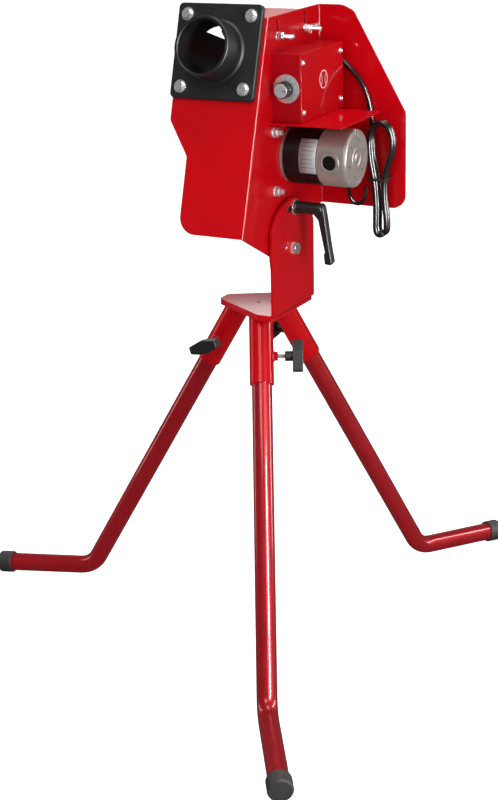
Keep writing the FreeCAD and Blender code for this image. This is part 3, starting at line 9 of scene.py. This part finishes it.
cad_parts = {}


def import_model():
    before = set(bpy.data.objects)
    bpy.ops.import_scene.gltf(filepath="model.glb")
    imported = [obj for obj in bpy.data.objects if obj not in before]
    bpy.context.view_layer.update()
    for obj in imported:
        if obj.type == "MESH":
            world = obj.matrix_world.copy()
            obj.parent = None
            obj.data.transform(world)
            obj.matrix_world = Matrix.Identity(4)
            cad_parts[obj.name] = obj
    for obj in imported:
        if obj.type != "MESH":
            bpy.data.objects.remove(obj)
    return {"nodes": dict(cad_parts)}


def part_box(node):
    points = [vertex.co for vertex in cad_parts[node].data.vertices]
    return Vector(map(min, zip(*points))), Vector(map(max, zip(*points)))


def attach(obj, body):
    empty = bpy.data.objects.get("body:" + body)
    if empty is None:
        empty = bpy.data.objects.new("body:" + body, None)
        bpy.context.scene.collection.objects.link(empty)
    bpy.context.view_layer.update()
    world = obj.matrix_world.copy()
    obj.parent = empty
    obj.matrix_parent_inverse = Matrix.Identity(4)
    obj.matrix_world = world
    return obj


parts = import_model()["nodes"]
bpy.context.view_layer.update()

HUB = Vector((0.128659, -0.004501, 0.0))
LEGS = (("left", 181.2), ("front", -62.6), ("right", 64.8))  # name, azimuth in degrees
LEG_SPLAY = math.radians(30.73)  # from vertical
THREAD_PITCH = 0.00125
HEAD_TILT = math.radians(1.2)
HEAD = (Matrix.Translation(HUB + Vector((0.0522, -0.0023, 0.6625)))
        @ Matrix.Rotation(HEAD_TILT, 4, "X"))
MM = Matrix.Scale(0.001, 4)


def leg_directions(azimuth):
    """Unit vectors outward along a leg's azimuth and sideways to it, for degrees."""
    angle = math.radians(azimuth)
    return (Vector((math.cos(angle), math.sin(angle), 0)),
            Vector((-math.sin(angle), math.cos(angle), 0)))


# ------------------------------------------------------------------ material building
class Shader:
    """A Principled material with helpers that add nodes and return their output sockets."""

    def __init__(self, name):
        self.material = bpy.data.materials.new(name)
        self.material.use_nodes = True
        self.tree = self.material.node_tree
        self.tree.nodes.clear()
        output = self.new("ShaderNodeOutputMaterial")
        principled = self.new("ShaderNodeBsdfPrincipled")
        self.inputs = principled.inputs
        self.put(output.inputs[0], principled.outputs[0])
        self.coords = self.new("ShaderNodeTexCoord").outputs["Object"]

    def new(self, kind, **settings):
        node = self.tree.nodes.new(kind)
        for key, value in settings.items():
            setattr(node, key, value)
        return node

    def put(self, socket, value):
        """Link a socket, or set a plain value."""
        if isinstance(value, bpy.types.NodeSocket):
            self.tree.links.new(value, socket)
        else:
            socket.default_value = value

    def noise(self, scale, detail=3.0, coords=None):
        node = self.new("ShaderNodeTexNoise")
        self.put(node.inputs["Vector"], coords or self.coords)
        node.inputs["Scale"].default_value = scale
        node.inputs["Detail"].default_value = detail
        node.inputs["Roughness"].default_value = 0.55
        return node.outputs["Fac"]

    def math(self, operation, a, b=0.0, c=None, clamp=False):
        node = self.new("ShaderNodeMath", operation=operation, use_clamp=clamp)
        self.put(node.inputs[0], a)
        self.put(node.inputs[1], b)
        if c is not None:
            self.put(node.inputs[2], c)
        return node.outputs[0]

    def dot(self, a, b):
        node = self.new("ShaderNodeVectorMath", operation="DOT_PRODUCT")
        self.put(node.inputs[0], a)
        self.put(node.inputs[1], b)
        return node.outputs["Value"]

    def separate(self, vector):
        node = self.new("ShaderNodeSeparateXYZ")
        self.put(node.inputs[0], vector)
        return node.outputs

    def remap(self, value, source, target=(0, 1)):
        node = self.new("ShaderNodeMapRange")
        self.put(node.inputs["Value"], value)
        for label, ends in (("From", source), ("To", target)):
            node.inputs[label + " Min"].default_value = ends[0]
            node.inputs[label + " Max"].default_value = ends[1]
        return node.outputs[0]

    def mix(self, factor, a, b):
        """Mix colour socket a with the plain colour or socket b."""
        node = self.new("ShaderNodeMix", data_type="RGBA")
        self.put(node.inputs[0], factor)
        for index, colour in ((6, a), (7, b)):
            plain = not isinstance(colour, bpy.types.NodeSocket)
            self.put(node.inputs[index], (*colour, 1) if plain else colour)
        return node.outputs[2]

    def bevel(self, radius):
        node = self.new("ShaderNodeBevel")
        node.samples = 4
        node.inputs["Radius"].default_value = radius
        return node.outputs[0]

    def normal(self):
        return self.new("ShaderNodeNewGeometry").outputs["Normal"]

    def edge(self, bevelled):
        """1 on edges, where the bevelled normal leaves the true one, and 0 on flats."""
        return self.remap(self.dot(bevelled, self.normal()), (0.985, 0.8))

    def bump(self, height, strength, distance, normal):
        node = self.new("ShaderNodeBump")
        node.inputs["Strength"].default_value = strength
        node.inputs["Distance"].default_value = distance
        self.put(node.inputs["Height"], height)
        self.put(node.inputs["Normal"], normal)
        return node.outputs[0]


def make_material(name, colour, rough, metal=0.0, spec=0.5, coat=0.0, coat_rough=0.05,
                  var=0.12, var_scale=28.0, bumps=(), bevel=0.0005,
                  wear=None, wear_amount=0.5, dust=0.0, extra=None):
    """var is the brightness variation and var_scale its noise scale. bumps holds
    (noise scale, strength, distance). wear is the colour of rubbed
    edges, lighter than the finish, so partly a painted edge highlight, and
    wear_amount its strength. dust is the amount on upward faces.
    extra(shader, colour, normal) returns the last two changed."""
    s = Shader(name)
    broad = s.noise(var_scale, 4)
    fine = s.noise(var_scale * 9, 2)
    mottle = s.math("MULTIPLY_ADD", fine, 0.35, s.math("MULTIPLY", broad, 0.65))
    darker, lighter = (tuple(c * k for c in colour) for k in (1 - var, 1 + var))
    tint = s.mix(s.remap(mottle, (0.35, 0.65)), darker, lighter)
    bevelled = s.bevel(bevel)
    # edges lightened in noisy patches: partly rubbed finish, partly a painted edge highlight
    if wear:
        patches = s.edge(bevelled), s.remap(s.noise(210, 4), (0.42, 0.62), (0, wear_amount))
        tint = s.mix(s.math("MULTIPLY", *patches), tint, wear)
    if dust:
        upward = s.separate(s.normal())["Z"]
        cover = s.math("MULTIPLY", s.remap(upward, (0.4, 1.0), (0, dust)),
                       s.remap(s.noise(60, 5), (0.4, 0.7), (0.2, 1)))
        tint = s.mix(cover, tint, (0.45, 0.42, 0.4))
    swing = 0.12 * rough  # roughness varies by this much either way
    uneven = s.remap(s.noise(var_scale * 2.3, 5), (0.3, 0.7), (-swing, swing))
    roughness = s.math("ADD", rough, uneven, clamp=True)
    normal = bevelled
    for scale, strength, distance in bumps:
        normal = s.bump(s.noise(scale), strength, distance, normal)
    if extra:
        tint, normal = extra(s, tint, normal)
    s.put(s.inputs["Base Color"], tint)
    s.put(s.inputs["Roughness"], roughness)
    s.put(s.inputs["Metallic"], metal)
    s.put(s.inputs["Normal"], normal)
    s.put(s.inputs["Specular IOR Level"], spec)
    if coat:
        s.put(s.inputs["Coat Weight"], coat)
        s.put(s.inputs["Coat Roughness"], coat_rough)
        ripple = s.bump(s.noise(330, 2), 0.06, 0.0004, bevelled)
        s.put(s.inputs["Coat Normal"], ripple)
    return s.material


def flecks(s, colour, normal):
    """Bright red flakes in a fifth of very small cells."""
    cells = s.new("ShaderNodeTexVoronoi")
    s.put(cells.inputs["Vector"], s.coords)
    cells.inputs["Scale"].default_value = 2200
    flake = s.math("GREATER_THAN", s.separate(cells.outputs["Color"])["X"], 0.80)
    return s.mix(s.math("MULTIPLY", flake, 0.22), colour, (0.90, 0.08, 0.09)), normal


def threads(axis):
    """Screw threads along an axis, their roots darkened as painted shade."""
    def extra(s, colour, normal):
        along = s.dot(s.coords, axis)
        wave = s.math("SINE", s.math("MULTIPLY", along, math.tau / THREAD_PITCH))
        # painted shade: the roots of the bumped threads are darkened
        colour = s.mix(s.remap(wave, (-1, 0.2), (0.6, 0)), colour, (0.16, 0.16, 0.17))
        return colour, s.bump(wave, 0.7, THREAD_PITCH * 0.35, normal)
    return extra


def turned(s, colour, normal):
    """Fine lathe marks around X."""
    mapping = s.new("ShaderNodeMapping")
    s.put(mapping.inputs["Vector"], s.coords)
    mapping.inputs["Scale"].default_value = (9000, 90, 90)
    marks = s.noise(1.0, coords=mapping.outputs[0])
    return colour, s.bump(marks, 0.10, 0.00025, normal)


def wound(s, colour, normal):
    """Copper colour beyond both ends of the iron core, with fine ridges along X."""
    x = s.separate(s.coords)["X"]
    copper = s.math("MAXIMUM", s.math("LESS_THAN", x, HUB.x + 0.0722),
                    s.math("GREATER_THAN", x, HUB.x + 0.1082))
    ridges = s.math("SINE", s.math("MULTIPLY", x, 9000))
    return s.mix(copper, colour, (0.65, 0.24, 0.08)), s.bump(ridges, 0.4, 0.0003, normal)


def floor_glow(s, colour, normal):
    """Bright to the camera and dark in reflections."""
    ray = s.new("ShaderNodeLightPath").outputs
    glow = s.math("MULTIPLY", ray["Is Camera Ray"], 0.80)
    s.put(s.inputs["Emission Color"], (1, 1, 1, 1))
    s.put(s.inputs["Emission Strength"], glow)
    return s.mix(ray["Is Glossy Ray"], colour, (0.07, 0.065, 0.065)), normal


def finish(name, part_names, **looks):
    """Make a material and give it to the named CAD pieces."""
    material = make_material(name, **looks)
    for part_name in part_names.split():
        part = parts[part_name]
        if not part.material_slots:
            part.data.materials.append(material)
        for slot in part.material_slots:
            slot.material = material
    return material


# ------------------------------------------------------------------ finishes of the CAD pieces
# lighter red for rubbed edges of the red paint, partly a painted edge highlight
PALE_RED = (0.80, 0.05, 0.05)
ZINC = (0.80, 0.82, 0.84)
PEEL = ((420, 0.05, 0.0006), (55, 0.03, 0.003))  # orange-peel paint
MOULDED = ((1500, 0.22, 0.00035), (160, 0.06, 0.001))

finish("red_powder_paint",
       "frame_panel head_bracket hub_plate pinch_plate wheel_guard motor_shelf box_cover",
       colour=(0.54, 0.0006, 0.0050), rough=0.34, spec=0.05, coat=0.55, var=0.05, var_scale=9,
       bumps=PEEL, bevel=0.0009, wear=PALE_RED, wear_amount=0.55)
# the box body has the same red paint as its cover, darkened as painted shade
finish("red_paint_box_painted_shade", "control_box", colour=(0.38, 0.001, 0.005), rough=0.36, spec=0.08,
       coat=0.20, coat_rough=0.08, var=0.05, var_scale=14, bumps=PEEL, bevel=0.0009,
       wear=PALE_RED)
finish("red_metallic_tube", "leg_left leg_front leg_right", colour=(0.34, 0.0012, 0.007),
       rough=0.36, metal=0.35, spec=0.2, coat=0.7, coat_rough=0.04, var=0.10, var_scale=12,
       bumps=((500, 0.05, 0.0004),), bevel=0.0006, extra=flecks)
finish("red_tube_sockets", "leg_sockets weld_nuts", colour=(0.52, 0.0012, 0.006), rough=0.34,
       metal=0.05, spec=0.05, coat=0.35, coat_rough=0.04, var=0.08, var_scale=16, bumps=PEEL,
       wear=PALE_RED)
finish("black_moulded_plastic", "feed_flange lock_knob_left lock_knob_front lock_knob_right",
       colour=(0.010, 0.0095, 0.0100), rough=0.48, spec=0.4, var=0.22, bumps=MOULDED,
       bevel=0.0008, wear=(0.07, 0.07, 0.072), wear_amount=0.8, dust=0.05)
finish("black_tube_plastic", "feed_tube", colour=(0.006, 0.0052, 0.0052), rough=0.44,
       var=0.25, var_scale=18, bumps=((700, 0.12, 0.0006), (60, 0.05, 0.002)), bevel=0.0008,
       wear=(0.09, 0.09, 0.09), wear_amount=0.8)
finish("black_lever", "clamp_lever", colour=(0.012, 0.012, 0.013), rough=0.36, var=0.2,
       bumps=((1800, 0.2, 0.0003),), bevel=0.001, wear=(0.08, 0.08, 0.08), wear_amount=0.7)
finish("black_rubber",
       "foot_cap_left foot_cap_front foot_cap_right pinch_pad friction_pad cord_grommets",
       colour=(0.020, 0.019, 0.019), rough=0.62, var=0.25,
       bumps=((900, 0.3, 0.0005), (90, 0.08, 0.001)), bevel=0.0008,
       wear=(0.10, 0.095, 0.09), wear_amount=0.6, dust=0.10)
finish("tyre_rubber", "wheel_tyre", colour=(0.022, 0.021, 0.021), rough=0.7, var=0.3,
       bumps=((1100, 0.4, 0.0005), (140, 0.15, 0.0012)), bevel=0.001,
       wear=(0.11, 0.10, 0.10), wear_amount=0.8, dust=0.12)
finish("bright_zinc",
       "m8_bolts m8_nuts wheel_bolt motor_tie_bolts panel_screws hub_screws pivot_nut"
       " clamp_stud cover_screws",
       colour=ZINC, rough=0.20, metal=0.75, var=0.07, var_scale=120,
       bumps=((900, 0.10, 0.0003),), wear=(0.95, 0.95, 0.96), wear_amount=0.6)
finish("bright_plated", "pivot_bolt wing_nut_near wing_nut_far", colour=(0.88, 0.89, 0.91),
       rough=0.13, metal=0.82, var=0.05, var_scale=150, bumps=((700, 0.12, 0.0004),),
       bevel=0.0007)
finish("cast_aluminium", "wheel_hub potentiometer", colour=(0.70, 0.71, 0.73), rough=0.34,
       metal=1.0, var=0.09, var_scale=60, bumps=((900, 0.25, 0.0004),), bevel=0.001,
       wear=(0.85, 0.85, 0.86))
housing = finish("warm_silver_housing", "motor_end_bells", colour=(0.36, 0.325, 0.295),
                 rough=0.34, metal=0.4, coat=0.25, coat_rough=0.15, var=0.05, var_scale=40,
                 bumps=((1400, 0.10, 0.0003),), bevel=0.0009, wear=(0.85, 0.82, 0.78),
                 wear_amount=0.7)
finish("black_motor_can", "motor_can", colour=(0.004, 0.004, 0.0045), rough=0.34, spec=0.3,
       coat=0.12, coat_rough=0.12, var=0.2, bumps=PEEL, bevel=0.0008, wear=(0.2, 0.2, 0.2))
finish("ground_steel", "motor_shaft motor_bearings", colour=(0.58, 0.58, 0.60), rough=0.25,
       metal=1.0, var=0.08, extra=turned)
finish("black_oxide_steel", "motor_screws", colour=(0.03, 0.03, 0.032), rough=0.38, metal=0.8,
       var=0.2, bumps=((900, 0.15, 0.0003),))
finish("sintered_magnet", "field_magnets", colour=(0.07, 0.07, 0.075), rough=0.6, metal=0.2,
       var=0.2, bumps=((1200, 0.3, 0.0004),))
finish("carbon_block", "carbon_brushes", colour=(0.02, 0.02, 0.021), rough=0.5, metal=0.1,
       var=0.25, bumps=((1500, 0.3, 0.0003),))
finish("armature_iron", "armature", colour=(0.30, 0.30, 0.31), rough=0.4, metal=0.9, var=0.15,
       extra=wound)
finish("brass_spindle", "pot_shaft", colour=(0.72, 0.50, 0.19), rough=0.28, metal=1.0,
       var=0.08, bumps=((800, 0.1, 0.0003),))
finish("circuit_board", "control_board", colour=(0.01, 0.13, 0.035), rough=0.35, coat=0.3,
       var=0.4, var_scale=260, bumps=((700, 0.4, 0.0006),))
finish("spun_aluminium", "dial_skirt", colour=(0.80, 0.81, 0.82), rough=0.20, metal=0.6,
       var=0.05, var_scale=120, bumps=((1300, 0.1, 0.0002),), bevel=0.0004)
finish("gloss_black_knob", "speed_knob brush_caps", colour=(0.004, 0.004, 0.0045), rough=0.42,
       spec=0.25, var=0.2, bumps=((1500, 0.12, 0.0002),), wear=(0.1, 0.1, 0.1))
finish("black_cable_sheath", "power_cord motor_lead", colour=(0.007, 0.007, 0.0075),
       rough=0.24, coat=0.5, coat_rough=0.12, var=0.2, var_scale=40,
       bumps=((260, 0.10, 0.0008), (1800, 0.06, 0.0002)))
finish("nylon_tie", "cord_tie", colour=(0.02, 0.02, 0.021), rough=0.35, var=0.15,
       bumps=((600, 0.2, 0.0004),))
finish("pinch_bolt_threads", "pinch_bolts", colour=ZINC, rough=0.22, metal=0.65,
       extra=threads((1, 0, 0)))
for leg, azimuth in LEGS:
    finish("screw_threads_" + leg, "lock_screw_" + leg, colour=ZINC, rough=0.24, metal=0.65,
           extra=threads(leg_directions(azimuth)[1]))


# ------------------------------------------------------------------ mesh building
def add_mesh(name, verts, faces, material, body, matrix=Matrix(), smooth=True):
    mesh = bpy.data.meshes.new(name)
    mesh.from_pydata([tuple(matrix @ Vector(v)) for v in verts], [], faces)
    mesh.materials.append(material)
    bm = bmesh.new()
    bm.from_mesh(mesh)
    bmesh.ops.recalc_face_normals(bm, faces=bm.faces)
    bm.to_mesh(mesh)
    bm.free()
    for polygon in mesh.polygons:
        polygon.use_smooth = smooth
    added = bpy.data.objects.new(name, mesh)
    bpy.context.scene.collection.objects.link(added)
    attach(added, body)


def walls(rings, sides, closed=False):
    """Faces joining successive rings of vertices."""
    faces = []
    for i in range(rings if closed else rings - 1):
        a, b = i * sides, (i + 1) % rings * sides
        for j in range(sides):
            k = (j + 1) % sides
            faces.append((a + j, a + k, b + k, b + j))
    return faces


def caps(rings, sides):
    """Faces over the first and last rings."""
    return [tuple(range(sides)), tuple(range((rings - 1) * sides, rings * sides))]


def head_at(x, y, z, direction):
    """Matrix in mm with local Z along a head direction, at a head-frame point."""
    turn = Vector(direction).to_track_quat("Z", "Y").to_matrix().to_4x4()
    return HEAD @ Matrix.Translation((x / 1000, y / 1000, z / 1000)) @ turn @ MM


# ------------------------------------------------------------------ weld beads
SOCKET_OFFSET = 0.03797  # hub centre to socket axis at the hub's underside
SOCKET_RADIUS = 0.01905
SOCKET_BEAD_RING = 0.0192
BEAD_DROP = 0.0012  # bead centreline below the hub plate
NUT_DISTANCE = 0.0696  # down the socket to the weld nut
NUT_BEAD_RING = 0.0070
weld = make_material("painted_weld_bead", colour=(0.42, 0.002, 0.008), rough=0.34, metal=0.1,
                     coat=0.6, coat_rough=0.1, var=0.15, var_scale=150,
                     bumps=((500, 0.4, 0.0008),), bevel=0.0003)


def add_bead(name, steps, point_at, radius, ripple, ripples, swells, phase):
    """A closed, uneven bead along point_at(angle). ripples and swells are counts per turn."""
    sides = 10
    angles = [math.tau * i / steps for i in range(steps)]
    path = [point_at(angle) for angle in angles]
    verts = []
    across = None
    for i, angle in enumerate(angles):
        size = radius * (1 + ripple * math.sin(angle * ripples)
                         + 0.1 * math.sin(angle * swells + phase))
        along = (path[(i + 1) % steps] - path[i - 1]).normalized()
        if across is None:
            across = along.orthogonal().normalized()
        across = (across - along * across.dot(along)).normalized()
        side = along.cross(across)
        for j in range(sides):
            turn = math.tau * j / sides
            verts.append(path[i] + (across * math.cos(turn) + side * math.sin(turn)) * size)
    add_mesh(name, verts, walls(steps, sides, closed=True), weld, "stand")


hub_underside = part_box("hub_plate")[0][2]
for leg, azimuth in LEGS:
    outward, sideways = leg_directions(azimuth)
    # the socket's axis, and the direction square to both it and sideways
    axis = outward * -math.sin(LEG_SPLAY) + Vector((0, 0, math.cos(LEG_SPLAY)))
    square = outward * math.cos(LEG_SPLAY) + Vector((0, 0, math.sin(LEG_SPLAY)))
    top = HUB + outward * SOCKET_OFFSET + Vector((0, 0, hub_underside))
    nut = top - axis * NUT_DISTANCE

    def socket_seam(angle):
        """Circle round the socket, slid along its axis onto the hub's underside."""
        offset = (square * (SOCKET_BEAD_RING * math.cos(angle))
                  + sideways * (SOCKET_BEAD_RING * math.sin(angle)))
        # top already holds the underside's height, so it takes part in the slide
        point = top + offset + axis * (-offset.z / axis.z)
        return point + Vector((0, 0, -BEAD_DROP))

    def nut_seam(angle):
        """Circle round the nut, wrapped onto the socket's surface."""
        a, b = NUT_BEAD_RING * math.cos(angle), NUT_BEAD_RING * math.sin(angle)
        depth = math.sqrt(SOCKET_RADIUS ** 2 - a ** 2)
        return nut + square * a + axis * b + sideways * depth

    add_bead("weld_bead_" + leg, 140, socket_seam,
             radius=0.0021, ripple=0.16, ripples=31, swells=7, phase=azimuth)
    add_bead("nut_weld_" + leg, 90, nut_seam,
             radius=0.0014, ripple=0.2, ripples=17, swells=5, phase=azimuth)

# ------------------------------------------------------------------ motor label (mm)
MOTOR_Y, MOTOR_Z = 17.7, 143.3  # motor axis
LABEL_RADIUS = 44.05
RULE_RADIUS = 44.13
LABEL_THICKNESS = 0.25
RULE_PITCH = 8.4  # degrees
label = make_material("plain_grey_label", colour=(0.30, 0.30, 0.31), rough=0.5, var=0.06,
                      var_scale=90, bumps=((900, 0.08, 0.0002),), bevel=0.0002)
ruling = make_material("label_ruling", colour=(0.10, 0.10, 0.11), rough=0.5, var=0.1,
                       bevel=0.0002)


def add_patch(name, x_span, angles, radius=RULE_RADIUS, material=ruling, steps=2):
    """A thin curved plate round the motor axis, between two angles in degrees."""
    verts, faces = [], []
    for i in range(steps + 1):
        angle = math.radians(angles[0] + (angles[1] - angles[0]) * i / steps)
        for x in x_span:
            for r in (radius, radius - LABEL_THICKNESS):
                verts.append((x, MOTOR_Y + r * math.cos(angle), MOTOR_Z + r * math.sin(angle)))
    for a in range(0, steps * 4, 4):
        b = a + 4
        faces += [(a, a + 2, b + 2, b), (a + 1, b + 1, b + 3, a + 3),
                  (a, b, b + 1, a + 1), (a + 2, a + 3, b + 3, b + 2)]
    end = steps * 4
    faces += [(0, 1, 3, 2), (end, end + 2, end + 3, end + 1)]
    add_mesh(name, verts, faces, material, "head", HEAD @ MM)


add_patch("motor_label", (33, 61), (134, 206), LABEL_RADIUS, label, steps=24)
for k, rule_end in enumerate((58, 54, 58, 50, 58, 56, 58)):
    start = 142 + k * RULE_PITCH
    add_patch("label_rule_%d" % k, (36, rule_end), (start, start + 1.1), steps=3)
add_patch("label_border_a", (34, 60), (135.4, 136.2))
add_patch("label_border_b", (34, 60), (203.8, 204.6))

# ------------------------------------------------------------------ motor end face (mm)
END_X = 109.2
DIMPLE_CIRCLE = 28
# (radius, height) pairs
BOSS = ((17.5, 0.0), (17.5, 0.5), (16.9, 0.9), (11.0, 0.9),
        (10.4, 0.35), (7.0, 0.35), (6.4, 0.8), (0.6, 0.8))
DIMPLE = ((2.0, 0.0), (2.0, 0.08), (1.4, 0.14), (0.5, 0.14))


def add_turned(name, profile, y, z, material, sides):
    """A profile turned about X, standing on the motor's end face."""
    verts = []
    for radius, height in profile:
        for j in range(sides):
            angle = math.tau * j / sides
            verts.append((radius * math.cos(angle), radius * math.sin(angle), height))
    rings = len(profile)
    add_mesh(name, verts, walls(rings, sides) + caps(rings, sides), material,
             "head", head_at(END_X, y, z, (1, 0, 0)))


# the end dimples are tiny raised discs; their dark colour is painted shade standing for hollows
dimple_shade = make_material("housing_dimple_painted_shade", colour=(0.10, 0.095, 0.09), rough=0.5, metal=0.5,
                       var=0.2, bevel=0.0003)
add_turned("end_boss", BOSS, MOTOR_Y, MOTOR_Z, housing, sides=64)
for k in range(6):
    angle = math.radians(k * 60 + 15)
    add_turned("end_dimple_%d" % k, DIMPLE, MOTOR_Y + DIMPLE_CIRCLE * math.cos(angle),
               MOTOR_Z + DIMPLE_CIRCLE * math.sin(angle), dimple_shade, sides=24)

# ------------------------------------------------------------------ dial marks (mm)
DIAL = head_at(23.9, -41.5, 252.2, (0, -1, 0))
TICK_OUTER = 20.4
# the skirt's cone: its rim, and its rise over a run towards the centre
RIM_RADIUS, RIM_HEIGHT, CONE_RISE, CONE_RUN = 21, 0.9, 1.29, 5.5
ink = make_material("black_ink", colour=(0.015, 0.015, 0.016), rough=0.5, var=0.1,
                    bevel=0.0001)
white = make_material("white_ink", colour=(0.82, 0.82, 0.80), rough=0.45, var=0.05,
                      bumps=((900, 0.1, 0.0001),), bevel=0.0001)


def add_bar(name, corners, bottoms, tops):
    """A flat bar on the dial from four (x, y) corners, each with its own heights."""
    verts = [(x, y, z) for heights in (bottoms, tops) for (x, y), z in zip(corners, heights)]
    add_mesh(name, verts, caps(2, 4) + walls(2, 4), ink, "dial", DIAL,
             smooth=False)


for k in range(31):
    angle = math.radians(-60 + k * 10)
    inner, half_width = (15.6, 0.34) if k % 3 == 0 else (18.2, 0.2)
    radial = Vector((math.cos(angle), math.sin(angle)))
    across = Vector((-math.sin(angle), math.cos(angle))) * half_width
    corners = [radial * inner - across, radial * TICK_OUTER - across,
               radial * TICK_OUTER + across, radial * inner + across]
    surface = [RIM_HEIGHT + (RIM_RADIUS - c.length) / CONE_RUN * CONE_RISE for c in corners]
    add_bar("dial_tick_%02d" % k, corners, [h - 0.2 for h in surface],
            [h + 0.06 for h in surface])
add_bar("dial_pointer", [(3, -0.5), (10.2, -0.5), (10.2, 0.5), (3, 0.5)],
        [19.6] * 4, [20.62] * 4)

# ------------------------------------------------------------------ ball emblem on the cover (mm)
EMBLEM = head_at(48.1, 34.0, 256.0, (1, 0, 0))


def add_arc(name, centre_x, radius, start, end, half_width, full=False):
    """A flat strip along an arc in degrees. A full ring needs no end faces."""
    steps = 40
    section = ((-half_width, -0.1), (half_width, -0.1), (half_width, 0.12), (-half_width, 0.12))
    verts = []
    for i in range(steps + 1):
        angle = math.radians(start + (end - start) * i / steps)
        for offset, z in section:
            r = radius + offset
            verts.append((centre_x + r * math.cos(angle), r * math.sin(angle), z))
    faces = walls(steps + 1, 4)
    if not full:
        faces += caps(steps + 1, 4)
    add_mesh(name, verts, faces, white, "head", EMBLEM, smooth=False)


add_arc("ball_mark_ring", 0, 13.0, 0, 360, half_width=0.75, full=True)
add_arc("ball_mark_seam_a", -17.5, 12.6, -41, 41, half_width=0.5)
add_arc("ball_mark_seam_b", 17.5, 12.6, 139, 221, half_width=0.5)

# ------------------------------------------------------------------ floor
FLOOR = 14.0  # half the side
mesh = bpy.data.meshes.new("floor")
mesh.from_pydata([(-FLOOR, -FLOOR, 0), (FLOOR, -FLOOR, 0), (FLOOR, FLOOR, 0),
                  (-FLOOR, FLOOR, 0)], [], [(0, 1, 2, 3)])
floor = bpy.data.objects.new("floor", mesh)
bpy.context.scene.collection.objects.link(floor)
mesh.materials.append(make_material(
    "pale_floor", colour=(0.90, 0.90, 0.90), rough=0.8, spec=0.1, var=0.01, var_scale=2,
    bevel=0.0001, extra=floor_glow))

# ------------------------------------------------------------------ world
# a white sky whose strength depends on the kind of ray
world = bpy.data.worlds.new("studio")
bpy.context.scene.world = world
world.use_nodes = True
nodes, link = world.node_tree.nodes, world.node_tree.links.new
ray = nodes.new("ShaderNodeLightPath").outputs
camera_mix = nodes.new("ShaderNodeMixShader")
ambient = nodes["Background"]
seen = nodes.new("ShaderNodeBackground")
reflected = nodes.new("ShaderNodeBackground")
glossy_mix = nodes.new("ShaderNodeMixShader")
for sky, strength in ((ambient, 0.42), (seen, 1.2), (reflected, 0.10)):
    sky.inputs[0].default_value = (1, 1, 1, 1)
    sky.inputs[1].default_value = strength
for mixer, kind, otherwise, chosen in ((glossy_mix, "Is Glossy Ray", ambient, reflected),
                                       (camera_mix, "Is Camera Ray", glossy_mix, seen)):
    link(ray[kind], mixer.inputs[0])
    link(otherwise.outputs[0], mixer.inputs[1])
    link(chosen.outputs[0], mixer.inputs[2])
link(camera_mix.outputs[0], nodes["World Output"].inputs[0])

# ------------------------------------------------------------------ lights
# name, place and target from the hub, (width, height), watts, lights diffuse surfaces;
# the two glints only show as lines along bends and tubes
LIGHTS = (
    ("key", (0.3, -2.4, 2.9), (0, 0, 0.6), (1.4, 1.2), 27, True),
    ("strip_left", (-2.2, -0.5, 0.9), (0, 0, 0.5), (0.35, 1.8), 8, True),
    ("strip_right", (2.5, -1.25, 0.95), (0, 0, 0.6), (0.55, 1.9), 30, True),
    ("top", (0.3, 0.1, 2.9), (0, 0, 0.5), (1.4, 1.4), 26, True),
    ("back", (-1.5, 2.7, 1.95), (0, 0, 0.6), (1.8, 0.9), 18, True),
    ("glint", (2.5, -1.15, 1.05), (0, 0, 0.75), (0.34, 2.0), 190, False),
    ("glint_far", (2.2, 1.5, 1.3), (0, 0, 0.5), (0.30, 2.2), 45, False),
)
for name, place, target, size, power, diffuse in LIGHTS:
    light = bpy.data.lights.new(name, "AREA")
    light.shape = "RECTANGLE"
    light.size, light.size_y = size
    light.energy = power
    lamp = bpy.data.objects.new(name, light)
    lamp.location = Vector(place) + HUB
    lamp.rotation_euler = (Vector(target) - Vector(place)).to_track_quat("-Z", "Y").to_euler()
    lamp.visible_diffuse = diffuse
    bpy.context.scene.collection.objects.link(lamp)

# ------------------------------------------------------------------ camera
CAMERA_PLACE = HUB + Vector((1.08605, -2.04430, 1.24286))
YAW, ROLL = math.radians(28.54), math.radians(-1.41)
view = Vector((-0.44908, 0.82563, -0.34154)).normalized()
level = Vector((math.cos(YAW), math.sin(YAW), 0))
level = (level - view * level.dot(view)).normalized()
upright = level.cross(view)
right = level * math.cos(ROLL) + upright * math.sin(ROLL)
up = -level * math.sin(ROLL) + upright * math.cos(ROLL)
lens = bpy.data.cameras.new("camera")
lens.sensor_fit = "AUTO"
lens.sensor_width = 36.0
lens.lens = 67.98465
camera = bpy.data.objects.new("camera", lens)
camera.matrix_world = (Matrix.Translation(CAMERA_PLACE)
                       @ Matrix((right, up, -view)).transposed().to_4x4())
bpy.context.scene.collection.objects.link(camera)
bpy.context.scene.camera = camera
bpy.context.scene.view_settings.view_transform = "Standard"
